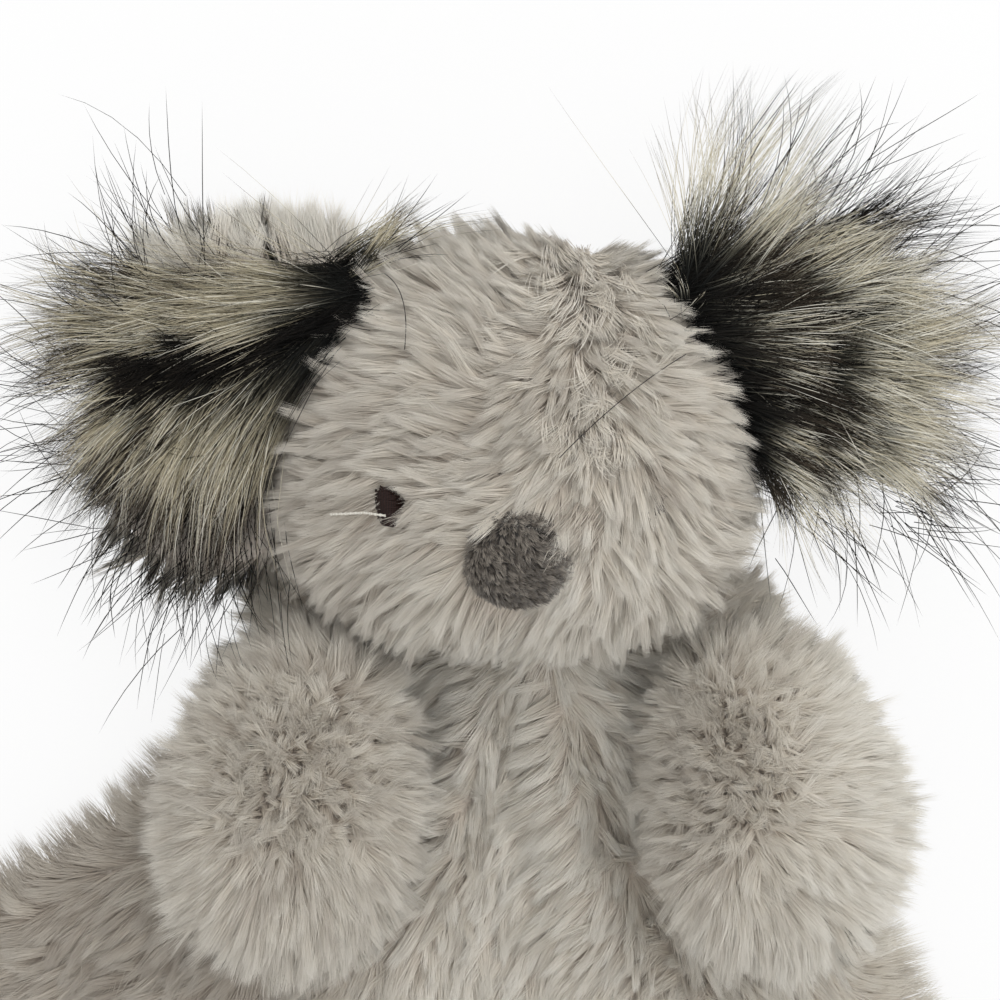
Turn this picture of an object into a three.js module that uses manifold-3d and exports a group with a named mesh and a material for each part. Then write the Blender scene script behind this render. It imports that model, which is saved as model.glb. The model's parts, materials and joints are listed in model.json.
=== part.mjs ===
// Koala comfort blanket, laid on its back with the face up, in millimetres.
// X runs across the toy, Y from the hem to the crown and Z from the table to the face.
// The origin lies on the flat underside of the blanket, below the neck.

import * as THREE from 'three';
import { mergeVertices } from 'three/addons/utils/BufferGeometryUtils.js';
import Module from 'manifold-3d';

const wasm = await Module();
wasm.setup();

// Seams and plush
const seamGap = 0.3; // clearance between pieces that are sewn together or lie on each other
const plushThickness = 9; // backing and pile of the head and arm panels

// Head, measured over the pile
const headWidth = 113;
const headLength = 97; // chin to crown
const headDepth = 86; // table to forehead
const headBackFlat = 1.5; // how deep the back of the head is pressed flat
const headSquareness = 2.6; // exponent of the outline seen from above
const cheekSquareness = 3.1; // the same below the middle, where the cheeks are full
const chinY = -0.5;
const faceSeamHeight = 38; // seam between the face and the back panels, above the table
const muzzleRise = 4;
const muzzleSpread = 22;
const headNod = 30; // degrees that the crown lifts
const neckPivotY = -1;
const neckPivotHeight = 42;

// Nose pad
const noseWidth = 20.2;
const noseLength = 21;
const noseThickness = 7;
const noseProud = 4; // how far the pad stands out of the pile
const noseCoverThickness = 2.5;
const noseTaper = 0.12; // how much wider the top is
const noseX = 0.8;
const noseDrop = 27.4; // below the middle of the head

// Embroidered eyes
const eyeWidth = 5.6;
const eyeLength = 8.6;
const eyeThickness = 4;
const eyeSink = 1; // how far the eye lies below the pile
const eyeDrop = 14;
const eyeLeftX = -28.4;
const eyeRightX = 35;

// Ears
const earWidth = 86;
const earReach = 66; // from the head to the tip
const earTuck = 14; // how far the outline would run on into the head
const earSquareness = 2.4;
const earFurHeight = 24;
const earBackWidth = 68;
const earBackReach = 56;
const earBackThickness = 6;
const earHingeHeight = 40; // base seam above the table
const earFold = 40; // degrees that an ear folds forward
const earLeftAngle = 173; // direction from the middle of the head, in degrees
const earRightAngle = 16;
const earLeftDroop = 20; // degrees that the ear hangs below level
const earRightDroop = 17;

// Arms, measured over the pile
const armWidth = 60;
const armLength = 79;
const armThickness = 44;
const armSquareness = 2.3;
const armTaper = 0.18; // share that the shoulder is narrower than the middle
const armMiddleY = -31;
const armLeftX = -49.5;
const armRightX = 59.5;
const armLeftTilt = 11; // degrees that the paw points outward
const armRightTilt = 14;
const armSwing = 45; // degrees that an arm swings out and up
const armSwingLift = 30; // degrees that the swing axis leans, so that the paw rises
const armPivotInset = 8; // from the shoulder end

// Blanket
const bodyAxisX = 5; // middle of the gathered neck
const neckEdgeY = 12;
const neckEdgeWidth = 112;
const blanketBackThickness = 6; // pressed pile and backing
const blanketFrontThickness = 10.7;
const blanketEdgeThickness = 5;
const wingLeftX = -172; // from the body axis
const wingTopY = -64;
const wingCorner = 22;
const hemY = -286;
const hemLeftX = -168; // from the body axis
const hemRightX = 150;
const hemCorner = 42;
const hemBow = 5;
const leftNeckPull = new THREE.Vector2(-22, -32); // pulls on the curved sides, from their ends
const leftWingPull = new THREE.Vector2(45, 16);
const rightNeckPull = new THREE.Vector2(16, -72);
const rightHemPull = new THREE.Vector2(-16, 119);
const pleatHeight = 13;
const pleatAngles = [-19, 12, 34]; // degrees from straight down, seen from the neck
const pleatHalfAngle = 7;
const pleatPeak = 30; // distance from the neck at which the pleats are highest
const pleatReach = 70; // distance over which they die away
const neckRise = 13; // gathered cloth under the chin
const neckRiseWidth = 34;
const neckRiseLength = 17;
const waveHeight = 5; // loose waves towards the hem
const waveCount = 9;
const waveStart = 110;
const gatherThreadDiameter = 1.6;

// Fineness of the facets
const headSegments = 28;
const headRings = 18;
const headFillingSegments = 20;
const headFillingRings = 12;
const armSegments = 20;
const armRings = 12;
const armFillingSegments = 14;
const armFillingRings = 8;
const padSegments = 20;
const padRings = 5;
const earSegments = 28;
const earRings = 6;
const foldSteps = 3; // poses at which neighbours are cut clear of each other
const blanketColumns = 22;
const blanketRows = 24;
const threadSteps = 6;
const threadSides = 8;

// Colours
const plushColour = 0xa59e92;
const earFurColour = 0x5c584e;
const noseColour = 0x5d564f;
const eyeColour = 0x37231a;
const fillingColour = 0xf2f0ea;
const threadColour = 0xcfc8ba;

// Worked-out places
const headHalf = new THREE.Vector3(headWidth / 2, headLength / 2, (headDepth + headBackFlat) / 2);
const headCentre = new THREE.Vector3(0, chinY + headLength / 2, headHalf.z - headBackFlat);
const blanketTop = blanketBackThickness + seamGap + blanketFrontThickness;
const xAxis = new THREE.Vector3(1, 0, 0);
const zAxis = new THREE.Vector3(0, 0, 1);
const cutReach = 3 * Math.max(headWidth, headLength, headDepth, armLength);
const radians = THREE.MathUtils.degToRad;

// Solids

function solidFrom(geometry) {
  const bare = geometry.clone();
  bare.deleteAttribute('normal');
  bare.deleteAttribute('uv');
  const merged = mergeVertices(bare);
  const vertProperties = Float32Array.from(merged.attributes.position.array);
  const triVerts = Uint32Array.from(merged.index.array);
  return new wasm.Manifold(new wasm.Mesh({ numProp: 3, vertProperties, triVerts }));
}

function geometryFrom(solid) {
  const mesh = solid.getMesh();
  const geometry = new THREE.BufferGeometry();
  geometry.setAttribute('position', new THREE.BufferAttribute(mesh.vertProperties, mesh.numProp));
  geometry.setIndex(new THREE.BufferAttribute(mesh.triVerts, 1));
  geometry.computeVertexNormals();
  return geometry;
}

function meshFrom(name, solid, color, roughness = 0.95) {
  const material = new THREE.MeshStandardMaterial({ color, roughness, metalness: 0 });
  const mesh = new THREE.Mesh(geometryFrom(solid), material);
  mesh.name = name;
  return mesh;
}

// Moves every point of a geometry with one function
function shapePoints(geometry, change) {
  const position = geometry.attributes.position;
  const point = new THREE.Vector3();
  for (let i = 0; i < position.count; i += 1) {
    change(point.fromBufferAttribute(position, i));
    position.setXYZ(i, point.x, point.y, point.z);
  }
  return geometry;
}

// Size of a point's place on the outline: 1 on the edge of a superellipse with half sizes of 1
function outlineSize(x, y, squareness) {
  return (Math.abs(x) ** squareness + Math.abs(y) ** squareness) ** (1 / squareness);
}

// A stuffed form: an ellipsoid whose outline seen from above is squared off
function stuffedForm(half, squarenessAt, segments, rings) {
  return shapePoints(new THREE.SphereGeometry(1, segments, rings), (point) => {
    const outline = outlineSize(point.x, point.y, squarenessAt(point.y));
    point.divideScalar(Math.hypot(outline, point.z)).multiply(half);
  });
}

// Turns a geometry about a line through a point
function turned(geometry, pivot, axis, degrees) {
  const turn = new THREE.Quaternion().setFromAxisAngle(axis, radians(degrees));
  return geometry
    .translate(-pivot.x, -pivot.y, -pivot.z)
    .applyQuaternion(turn)
    .translate(pivot.x, pivot.y, pivot.z);
}

// The angles from 0 to a joint's limit at which neighbours are cut clear of each other
function poses(limit) {
  return Array.from({ length: foldSteps + 1 }, (_, step) => (limit * step) / foldSteps);
}

// Half of space on one side of a plane, as a box with the given reach
function halfSpace(axis, side, offset, reach) {
  const box = new THREE.BoxGeometry(reach, reach, reach);
  const shift = axis.clone().multiplyScalar(offset + (side * reach) / 2);
  return solidFrom(box.translate(shift.x, shift.y, shift.z));
}

// Head, in its own frame with the origin in the middle

function muzzleBump(x, y) {
  const away = Math.hypot(x - noseX, y + noseDrop) / muzzleSpread;
  return muzzleRise * Math.exp(-away * away);
}

function headSquarenessAt(y) {
  return y < 0 ? cheekSquareness : headSquareness;
}

function headForm(growth, segments = headSegments, rings = headRings) {
  const half = headHalf.clone().addScalar(growth);
  return shapePoints(stuffedForm(half, headSquarenessAt, segments, rings), (point) => {
    point.z += muzzleBump(point.x, point.y) * Math.max(0, point.z / half.z);
  });
}

function headInside(gap) {
  return solidFrom(headForm(-plushThickness - gap, headFillingSegments, headFillingRings));
}

// The point of the face above x, y, and the direction that it faces
function facePoint(x, y) {
  const outline = outlineSize(x / headHalf.x, y / headHalf.y, headSquarenessAt(y));
  const rise = Math.sqrt(1 - outline * outline);
  return new THREE.Vector3(x, y, rise * (headHalf.z + muzzleBump(x, y)));
}

function faceSeat(x, y, depth) {
  const seat = new THREE.Group();
  const point = facePoint(x, y);
  const across = facePoint(x + 1, y).sub(facePoint(x - 1, y));
  const along = facePoint(x, y + 1).sub(facePoint(x, y - 1));
  const normal = across.cross(along).normalize();
  seat.quaternion.setFromUnitVectors(zAxis, normal);
  seat.position.copy(point).addScaledVector(normal, -depth);
  seat.updateMatrix();
  return seat;
}

// Pads on the face: domes with a flat base at z = 0, turned from a profile

function padTurned(profile, width, length, taper) {
  const round = new THREE.LatheGeometry(profile, padSegments).rotateX(Math.PI / 2);
  return shapePoints(round, (point) => {
    point.x *= (width / 2) * (1 + taper * point.y);
    point.y *= length / 2;
  });
}

function domeArc(height) {
  return Array.from({ length: padRings + 1 }, (_, i) => {
    const angle = (i / padRings) * (Math.PI / 2);
    return new THREE.Vector2(i === padRings ? 0 : Math.cos(angle), height * Math.sin(angle));
  });
}

function domeSolid(width, length, height, taper) {
  return solidFrom(padTurned([new THREE.Vector2(0, 0), ...domeArc(height)], width, length, taper));
}

// The hole in the pile that a pad sits in
function pocketSolid(width, length, taper) {
  const top = headDepth / 2;
  const profile = [
    new THREE.Vector2(0, -seamGap),
    new THREE.Vector2(1, -seamGap),
    new THREE.Vector2(1, top),
    new THREE.Vector2(0, top),
  ];
  return padTurned(profile, width + 2 * seamGap, length + 2 * seamGap, taper);
}

const noseSeat = faceSeat(noseX, -noseDrop, noseThickness - noseProud);
const noseInset = 2 * noseCoverThickness;
const noseHollow = domeSolid(
  noseWidth - noseInset, noseLength - noseInset, noseThickness - noseCoverThickness, noseTaper,
);
const noseCover = domeSolid(noseWidth, noseLength, noseThickness, noseTaper).subtract(noseHollow);
const noseFilling = domeSolid(
  noseWidth - noseInset - 2 * seamGap,
  noseLength - noseInset - 2 * seamGap,
  noseThickness - noseCoverThickness - seamGap,
  noseTaper,
);
noseSeat.add(
  meshFrom('nose_cover', noseCover, noseColour),
  meshFrom('nose_filling', noseFilling, fillingColour),
);
const nosePocket = pocketSolid(noseWidth, noseLength, noseTaper).applyMatrix4(noseSeat.matrix);

const eyes = [
  { name: 'eye_left', x: eyeLeftX },
  { name: 'eye_right', x: eyeRightX },
].map(({ name, x }) => {
  const seat = faceSeat(x, -eyeDrop, eyeThickness + eyeSink);
  seat.add(meshFrom(name, domeSolid(eyeWidth, eyeLength, eyeThickness, 0), eyeColour, 0.6));
  return { seat, pocket: pocketSolid(eyeWidth, eyeLength, 0).applyMatrix4(seat.matrix) };
});

// Head panels: a plush shell cut along the centre seam and the seam round the face

const aboveTable = halfSpace(zAxis, 1, -headCentre.z, cutReach);
let headShell = solidFrom(headForm(0)).intersect(aboveTable);
headShell = headShell.subtract(headInside(0));
headShell = headShell.subtract(solidFrom(nosePocket));
for (const { pocket } of eyes) {
  headShell = headShell.subtract(solidFrom(pocket));
}

function headPanel(name, side, up) {
  const seam = faceSeamHeight - headCentre.z;
  const panel = headShell
    .intersect(halfSpace(xAxis, side, (side * seamGap) / 2, cutReach))
    .intersect(halfSpace(zAxis, up, seam + (up * seamGap) / 2, cutReach));
  return meshFrom(name, panel, plushColour);
}

const head = new THREE.Group();
head.position.copy(headCentre);
head.updateMatrix();
head.add(
  headPanel('head_face_left', -1, 1),
  headPanel('head_face_right', 1, 1),
  headPanel('head_back_left', -1, -1),
  headPanel('head_back_right', 1, -1),
  meshFrom('head_filling', headInside(seamGap), fillingColour),
  noseSeat,
  ...eyes.map(({ seat }) => seat),
);

// The room that the head needs at one nod angle, in the toy's frame
const neckPivot = new THREE.Vector3(0, neckPivotY, neckPivotHeight);

function headRoom(nod) {
  return turned(headForm(seamGap).applyMatrix4(head.matrix), neckPivot, xAxis, nod);
}

// Ears: a domed fur panel over a thinner back panel, both hinged at the base seam

function earLens(width, reach, height) {
  const profile = [new THREE.Vector2(0, 0)];
  for (let i = 0; i <= earRings; i += 1) {
    const across = 1 - i / earRings;
    profile.push(new THREE.Vector2(across, height * (1 - across * across)));
  }
  const halfLength = (reach + earTuck) / 2;
  return shapePoints(new THREE.LatheGeometry(profile, earSegments).rotateX(Math.PI / 2), (point) => {
    const outline = outlineSize(point.x, point.y, earSquareness);
    const fullness = outline > 0 ? Math.hypot(point.x, point.y) / outline : 1;
    point.x = point.x * fullness * halfLength + reach - halfLength;
    point.y *= (fullness * width) / 2;
  });
}

// Cuts an ear panel clear of the head at every fold, in the ear's frame with the fold along y
function cutByFold(lens, ear) {
  const inverse = ear.matrix.clone().invert();
  let cut = lens;
  for (const fold of poses(earFold)) {
    cut = cut.subtract(solidFrom(headForm(seamGap).applyMatrix4(inverse).rotateY(radians(fold))));
  }
  return cut;
}

function addEar(side, angle, droop) {
  const rise = (earHingeHeight - headCentre.z) / headHalf.z;
  const direction = new THREE.Vector3(Math.cos(radians(angle)), Math.sin(radians(angle)), 0);
  const squareness = headSquarenessAt(direction.y);
  const outline = outlineSize(direction.x / headHalf.x, direction.y / headHalf.y, squareness);
  const radius = Math.sqrt(1 - rise * rise) / outline + seamGap;
  const ear = new THREE.Group();
  ear.position.copy(direction).multiplyScalar(radius).setZ(earHingeHeight - headCentre.z);
  ear.rotation.set(0, radians(droop), radians(angle), 'ZYX');
  ear.updateMatrix();
  const fur = solidFrom(earLens(earWidth, earReach, earFurHeight).translate(0, 0, seamGap / 2));
  const backLens = earLens(earBackWidth, earBackReach, earBackThickness).rotateX(Math.PI);
  const back = solidFrom(backLens.translate(0, 0, -seamGap / 2));
  ear.add(
    meshFrom(`ear_${side}_fur_panel`, cutByFold(fur, ear), earFurColour),
    meshFrom(`ear_${side}_back_panel`, cutByFold(back, ear), plushColour),
  );
  head.add(ear);
}

addEar('left', earLeftAngle, earLeftDroop);
addEar('right', earRightAngle, earRightDroop);

// Arms, each in its own frame with +Y towards the shoulder

function armForm(growth, segments = armSegments, rings = armRings) {
  const half = new THREE.Vector3(armWidth / 2, armLength / 2, armThickness / 2).addScalar(growth);
  return shapePoints(stuffedForm(half, () => armSquareness, segments, rings), (point) => {
    const narrowing = 1 - (armTaper * point.y) / half.y;
    point.x *= narrowing;
    point.z *= narrowing;
  });
}

function armInside(gap) {
  return solidFrom(armForm(-plushThickness - gap, armFillingSegments, armFillingRings));
}

const armRest = armForm(seamGap);
armRest.computeBoundingBox();

// Cuts an arm clear of the head wherever the arm swings and the head nods
function cutBySwing(cover, arm, outward) {
  const inverse = arm.matrix.clone().invert();
  const pivot = new THREE.Vector3(0, armLength / 2 - armPivotInset, 0).applyMatrix4(arm.matrix);
  const lift = radians(armSwingLift);
  const axis = new THREE.Vector3(-Math.sin(lift), 0, outward * Math.cos(lift));
  let cut = cover;
  for (const swing of poses(armSwing)) {
    for (const nod of poses(headNod)) {
      const room = turned(headRoom(nod), pivot, axis, -swing).applyMatrix4(inverse);
      cut = cut.subtract(solidFrom(room));
    }
  }
  return cut;
}

function addArm(toy, side, outward, x, tilt) {
  const arm = new THREE.Group();
  arm.position.set(x, armMiddleY, blanketTop - armRest.boundingBox.min.z);
  arm.rotation.z = outward * radians(tilt);
  arm.updateMatrix();
  const cover = cutBySwing(solidFrom(armForm(0)), arm, outward).subtract(armInside(0));
  const top = cover.intersect(halfSpace(zAxis, 1, seamGap / 2, cutReach));
  const under = cover.intersect(halfSpace(zAxis, -1, -seamGap / 2, cutReach));
  arm.add(
    meshFrom(`arm_${side}_top_panel`, top, plushColour),
    meshFrom(`arm_${side}_under_panel`, under, plushColour),
    meshFrom(`arm_${side}_filling`, armInside(seamGap), fillingColour),
  );
  toy.add(arm);
  return arm;
}

const toy = new THREE.Group();
toy.add(head);
const arms = [
  addArm(toy, 'left', -1, armLeftX, armLeftTilt),
  addArm(toy, 'right', 1, armRightX, armRightTilt),
];

// Blanket outline, from the body axis: neck edge, left side with its wing, hem and right side

function place(x, y) {
  return new THREE.Vector2(bodyAxisX + x, y);
}

function pathOf(...curves) {
  const path = new THREE.CurvePath();
  curves.forEach((curve) => path.add(curve));
  return path;
}

const neckLeft = place(-neckEdgeWidth / 2, neckEdgeY);
const neckRight = place(neckEdgeWidth / 2, neckEdgeY);
const wingShoulder = place(wingLeftX + wingCorner, wingTopY);
const wingEnd = place(wingLeftX, wingTopY - wingCorner);
const hemLeft = place(hemLeftX, hemY + hemCorner);
const hemRight = place(hemRightX, hemY + hemCorner);

function pulledCurve(start, startPull, endPull, end) {
  return new THREE.CubicBezierCurve(start, start.clone().add(startPull), end.clone().add(endPull), end);
}

const neckEdge = pathOf(new THREE.LineCurve(neckLeft, neckRight));
const leftSide = pathOf(
  pulledCurve(neckLeft, leftNeckPull, leftWingPull, wingShoulder),
  new THREE.QuadraticBezierCurve(wingShoulder, place(wingLeftX, wingTopY), wingEnd),
  new THREE.LineCurve(wingEnd, hemLeft),
);
const rightSide = pathOf(pulledCurve(neckRight, rightNeckPull, rightHemPull, hemRight));
const hemStart = place(hemLeftX + hemCorner, hemY);
const hemEnd = place(hemRightX - hemCorner, hemY);
const hemMiddle = hemStart.clone().lerp(hemEnd, 0.5).setY(hemY - 2 * hemBow);
const hem = pathOf(
  new THREE.QuadraticBezierCurve(hemLeft, place(hemLeftX, hemY), hemStart),
  new THREE.QuadraticBezierCurve(hemStart, hemMiddle, hemEnd),
  new THREE.QuadraticBezierCurve(hemEnd, place(hemRightX, hemY), hemRight),
);

// A point inside the outline, blended from its four edges
function blanketPoint(across, along) {
  const top = neckEdge.getPointAt(across);
  const bottom = hem.getPointAt(across);
  const left = leftSide.getPointAt(along);
  const right = rightSide.getPointAt(along);
  const blend = (a, b, c, d) => (1 - along) * a + along * b + (1 - across) * c + across * d;
  const corner = (a, b, c, d) => (1 - along) * ((1 - across) * a + across * b)
    + along * ((1 - across) * c + across * d);
  return new THREE.Vector2(
    blend(top.x, bottom.x, left.x, right.x)
      - corner(neckLeft.x, neckRight.x, hemLeft.x, hemRight.x),
    blend(top.y, bottom.y, left.y, right.y)
      - corner(neckLeft.y, neckRight.y, hemLeft.y, hemRight.y),
  );
}

// Pleats that run out from the neck, the gathered rise under the chin, and waves towards the hem
function foldHeight(point) {
  const x = point.x - bodyAxisX;
  const y = neckEdgeY - point.y;
  const away = Math.hypot(x, y);
  const angle = Math.atan2(x, y);
  const swell = away / pleatPeak;
  const fade = Math.exp(-Math.max(0, away - pleatPeak) / pleatReach) * Math.min(1, swell);
  let height = 0;
  for (const pleatAngle of pleatAngles) {
    const off = (angle - radians(pleatAngle)) / radians(pleatHalfAngle);
    height += pleatHeight * fade * Math.exp(-off * off);
  }
  const gather = Math.hypot(x / neckRiseWidth, y / neckRiseLength);
  height += neckRise * Math.exp(-gather * gather);
  const loose = THREE.MathUtils.smoothstep(away, waveStart, neckEdgeY - hemY);
  const wave = (1 + Math.cos(waveCount * angle)) / 2;
  return height + waveHeight * loose * wave;
}

// Columns and rows round the edge, anticlockwise from the left end of the neck
function edgePlaces() {
  const places = [];
  for (let row = 0; row < blanketRows; row += 1) {
    places.push([0, row]);
  }
  for (let column = 0; column < blanketColumns; column += 1) {
    places.push([column, blanketRows]);
  }
  for (let row = blanketRows; row > 0; row -= 1) {
    places.push([blanketColumns, row]);
  }
  for (let column = blanketColumns; column > 0; column -= 1) {
    places.push([column, 0]);
  }
  return places;
}

function gridPoint(column, row) {
  return blanketPoint(column / blanketColumns, row / blanketRows);
}

function blanketOutline() {
  return edgePlaces().map(([column, row]) => gridPoint(column, row));
}

// The front layer: a flat underside, an edge all round and a pleated top
function frontGeometry() {
  const base = blanketBackThickness + seamGap;
  const outline = blanketOutline();
  const points = outline.map((point) => [point.x, point.y, base]);
  const triangles = THREE.ShapeUtils.triangulateShape(outline, []).map(([a, b, c]) => [a, c, b]);
  const topStart = points.length;
  const topIndex = (column, row) => topStart + row * (blanketColumns + 1) + column;
  for (let row = 0; row <= blanketRows; row += 1) {
    for (let column = 0; column <= blanketColumns; column += 1) {
      const point = gridPoint(column, row);
      const onSide = column === 0 || column === blanketColumns || row === blanketRows;
      const height = onSide ? blanketEdgeThickness : blanketFrontThickness + foldHeight(point);
      points.push([point.x, point.y, base + height]);
      if (row > 0 && column > 0) {
        const corner = topIndex(column, row);
        const left = topIndex(column - 1, row);
        const above = topIndex(column, row - 1);
        const aboveLeft = topIndex(column - 1, row - 1);
        triangles.push([aboveLeft, left, corner], [aboveLeft, corner, above]);
      }
    }
  }
  const rim = edgePlaces().map(([column, row]) => topIndex(column, row));
  rim.forEach((upper, i) => {
    const next = (i + 1) % rim.length;
    triangles.push([i, next, upper], [next, rim[next], upper]);
  });
  const geometry = new THREE.BufferGeometry();
  geometry.setAttribute('position', new THREE.Float32BufferAttribute(points.flat(), 3));
  geometry.setIndex(triangles.flat());
  return geometry;
}

// The front layer is cut by the head that is sewn to it and by the arms that lie on it
let front = solidFrom(frontGeometry());
for (const nod of poses(headNod)) {
  front = front.subtract(solidFrom(headRoom(nod)));
}
for (const arm of arms) {
  front = front.subtract(solidFrom(armForm(seamGap).applyMatrix4(arm.matrix)));
}

const backShape = new THREE.Shape(blanketOutline());
const backGeometry = new THREE.ExtrudeGeometry(backShape, {
  depth: blanketBackThickness,
  bevelEnabled: false,
});

// The gathering thread lies along the neck edge
const threadRadius = gatherThreadDiameter / 2;
const threadY = neckEdgeY + seamGap + threadRadius;
const threadHeight = blanketBackThickness + seamGap + blanketEdgeThickness / 2;
const threadRoute = new THREE.LineCurve3(
  new THREE.Vector3(neckLeft.x, threadY, threadHeight),
  new THREE.Vector3(neckRight.x, threadY, threadHeight),
);
const threadSection = new THREE.Shape().absarc(0, 0, threadRadius, 0, 2 * Math.PI);
const threadGeometry = new THREE.ExtrudeGeometry(threadSection, {
  extrudePath: threadRoute,
  steps: threadSteps,
  curveSegments: threadSides / 2,
});

toy.add(
  meshFrom('blanket_front_panel', front, plushColour),
  meshFrom('blanket_back_panel', solidFrom(backGeometry), plushColour),
  meshFrom('neck_gather_thread', solidFrom(threadGeometry), threadColour),
);

export default toy;
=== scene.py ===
import json
import math

import bpy
import bmesh
import numpy as np
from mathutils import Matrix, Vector
from mathutils.bvhtree import BVHTree
from mathutils.kdtree import KDTree


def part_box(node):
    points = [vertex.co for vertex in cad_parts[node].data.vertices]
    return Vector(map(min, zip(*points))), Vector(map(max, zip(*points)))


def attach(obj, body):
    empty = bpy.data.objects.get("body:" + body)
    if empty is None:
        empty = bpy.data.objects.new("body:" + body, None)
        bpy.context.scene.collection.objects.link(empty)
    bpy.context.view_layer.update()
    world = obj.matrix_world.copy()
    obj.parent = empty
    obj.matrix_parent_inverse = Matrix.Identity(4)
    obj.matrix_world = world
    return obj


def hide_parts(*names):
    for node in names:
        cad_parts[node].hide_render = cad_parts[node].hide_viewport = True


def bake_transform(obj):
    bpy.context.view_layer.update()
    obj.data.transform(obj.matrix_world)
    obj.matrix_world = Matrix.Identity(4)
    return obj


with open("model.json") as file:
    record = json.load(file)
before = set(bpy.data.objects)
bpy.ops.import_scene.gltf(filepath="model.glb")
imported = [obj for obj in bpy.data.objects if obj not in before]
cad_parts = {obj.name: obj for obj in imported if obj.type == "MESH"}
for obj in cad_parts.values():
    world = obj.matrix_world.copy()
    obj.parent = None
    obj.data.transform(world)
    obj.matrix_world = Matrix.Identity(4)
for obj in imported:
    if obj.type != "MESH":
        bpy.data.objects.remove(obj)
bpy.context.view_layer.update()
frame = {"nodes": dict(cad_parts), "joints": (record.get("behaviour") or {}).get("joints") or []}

mm = 0.001  # shapes are worked out in millimetres, and Blender gets metres
thinning = 1.0  # fewer hairs while trying things


def tint(red, green, blue):
    shares = []
    for value in (red, green, blue):
        share = value / 255
        shares.append(share / 12.92 if share <= 0.04045 else ((share + 0.055) / 1.055) ** 2.4)
    return (*shares, 1.0)


def unit(vectors):
    size = np.linalg.norm(vectors, axis=-1, keepdims=True)
    return vectors / np.maximum(size, 1e-9)


def easeBetween(values, low, high):
    share = np.clip((values - low) / (high - low), 0, 1)
    return share * share * (3 - 2 * share)


# corners and triangles of CAD nodes, with doubled corners merged
def nodeMesh(*names):
    points, faces, count = [], [], 0
    for name in names:
        mesh = frame["nodes"][name].data
        places = np.empty(len(mesh.vertices) * 3, np.float32)
        mesh.vertices.foreach_get("co", places)
        mesh.calc_loop_triangles()
        corners = np.empty(len(mesh.loop_triangles) * 3, np.int32)
        mesh.loop_triangles.foreach_get("vertices", corners)
        points.append(places.reshape(-1, 3).astype(float) / mm)
        faces.append(corners.reshape(-1, 3) + count)
        count += len(mesh.vertices)
    points, faces = np.concatenate(points), np.concatenate(faces)
    _, first, merged = np.unique(np.round(points, 3), axis=0, return_index=True, return_inverse=True)
    faces = merged.reshape(-1)[faces]
    flat = (faces[:, 0] == faces[:, 1]) | (faces[:, 1] == faces[:, 2]) | (faces[:, 0] == faces[:, 2])
    return points[first], faces[~flat]


def treeOf(points, faces):
    return BVHTree.FromPolygons(points.tolist(), faces.tolist())


# twice each triangle's area, along its normal
def crossOf(points, faces):
    a, b, c = points[faces[:, 0]], points[faces[:, 1]], points[faces[:, 2]]
    return np.cross(b - a, c - a)


def cornerNormals(points, faces):
    across = crossOf(points, faces)
    total = np.zeros_like(points)
    for corner in range(3):
        np.add.at(total, faces[:, corner], across)
    return unit(total)


def surfaceOf(points, faces):
    return {"points": points, "faces": faces, "normals": cornerNormals(points, faces)}


def grown(surface, distance):
    return surfaceOf(surface["points"] + surface["normals"] * distance, surface["faces"])


# a smooth closed skin over a rounded CAD form, felt out from its middle
def wrapForm(names, rows, columns, smoothing):
    points, faces = nodeMesh(*names)
    tree = treeOf(points, faces)
    centre = (points.min(0) + points.max(0)) / 2
    polar = np.linspace(0, math.pi, rows + 2)[1:-1]
    around = np.arange(columns) * 2 * math.pi / columns
    ring = np.stack([np.cos(around), np.zeros(columns), np.sin(around)], 1)
    ways = np.sin(polar)[:, None, None] * ring + np.cos(polar)[:, None, None] * np.array([0, 1, 0])

    def feel(way):
        hit = tree.ray_cast(Vector(centre + way * 400), Vector(-way))
        return np.linalg.norm(np.array(hit[0]) - centre)

    reach = np.array([[feel(way) for way in row] for row in ways])
    ends = [feel(np.array([0, 1.0, 0])), feel(np.array([0, -1.0, 0]))]
    for _ in range(smoothing):
        above = np.concatenate([np.full((1, columns), ends[0]), reach[:-1]])
        below = np.concatenate([reach[1:], np.full((1, columns), ends[1])])
        reach = 0.4 * reach + 0.15 * (above + below + np.roll(reach, 1, 1) + np.roll(reach, -1, 1))
    skin = (centre + ways * reach[:, :, None]).reshape(-1, 3)
    skin = np.concatenate([skin, [centre + np.array([0, ends[0], 0]), centre - np.array([0, ends[1], 0])]])
    top, bottom = len(skin) - 2, len(skin) - 1
    triangles = []
    for row in range(rows - 1):
        for column in range(columns):
            beside = (column + 1) % columns
            a, b = row * columns + column, row * columns + beside
            c, d = a + columns, b + columns
            triangles += [(a, b, d), (a, d, c)]
    for column in range(columns):
        beside = (column + 1) % columns
        last = (rows - 1) * columns
        triangles += [(top, beside, column), (bottom, last + column, last + beside)]
    return surfaceOf(skin, np.array(triangles))


# waves of about the given size, with a spread of about 1
def ripple(points, size, rng, waves=9):
    total = np.zeros(len(points))
    for _ in range(waves):
        way = unit(rng.normal(size=3))
        total += np.sin(points @ way * 2 * math.pi / (size * rng.uniform(0.7, 1.5))
                        + rng.uniform(0, 2 * math.pi))
    return total / math.sqrt(waves / 2)


def scatter(surface, count, rng):
    points, faces, normals = surface["points"], surface["faces"], surface["normals"]
    area = np.linalg.norm(crossOf(points, faces), axis=1)
    chosen = faces[rng.choice(len(faces), int(count), p=area / area.sum())]
    first, second = np.sqrt(rng.random(int(count))), rng.random(int(count))
    shares = np.stack([1 - first, first * (1 - second), first * second], 1)[:, :, None]
    return (points[chosen] * shares).sum(1), unit((normals[chosen] * shares).sum(1))


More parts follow.
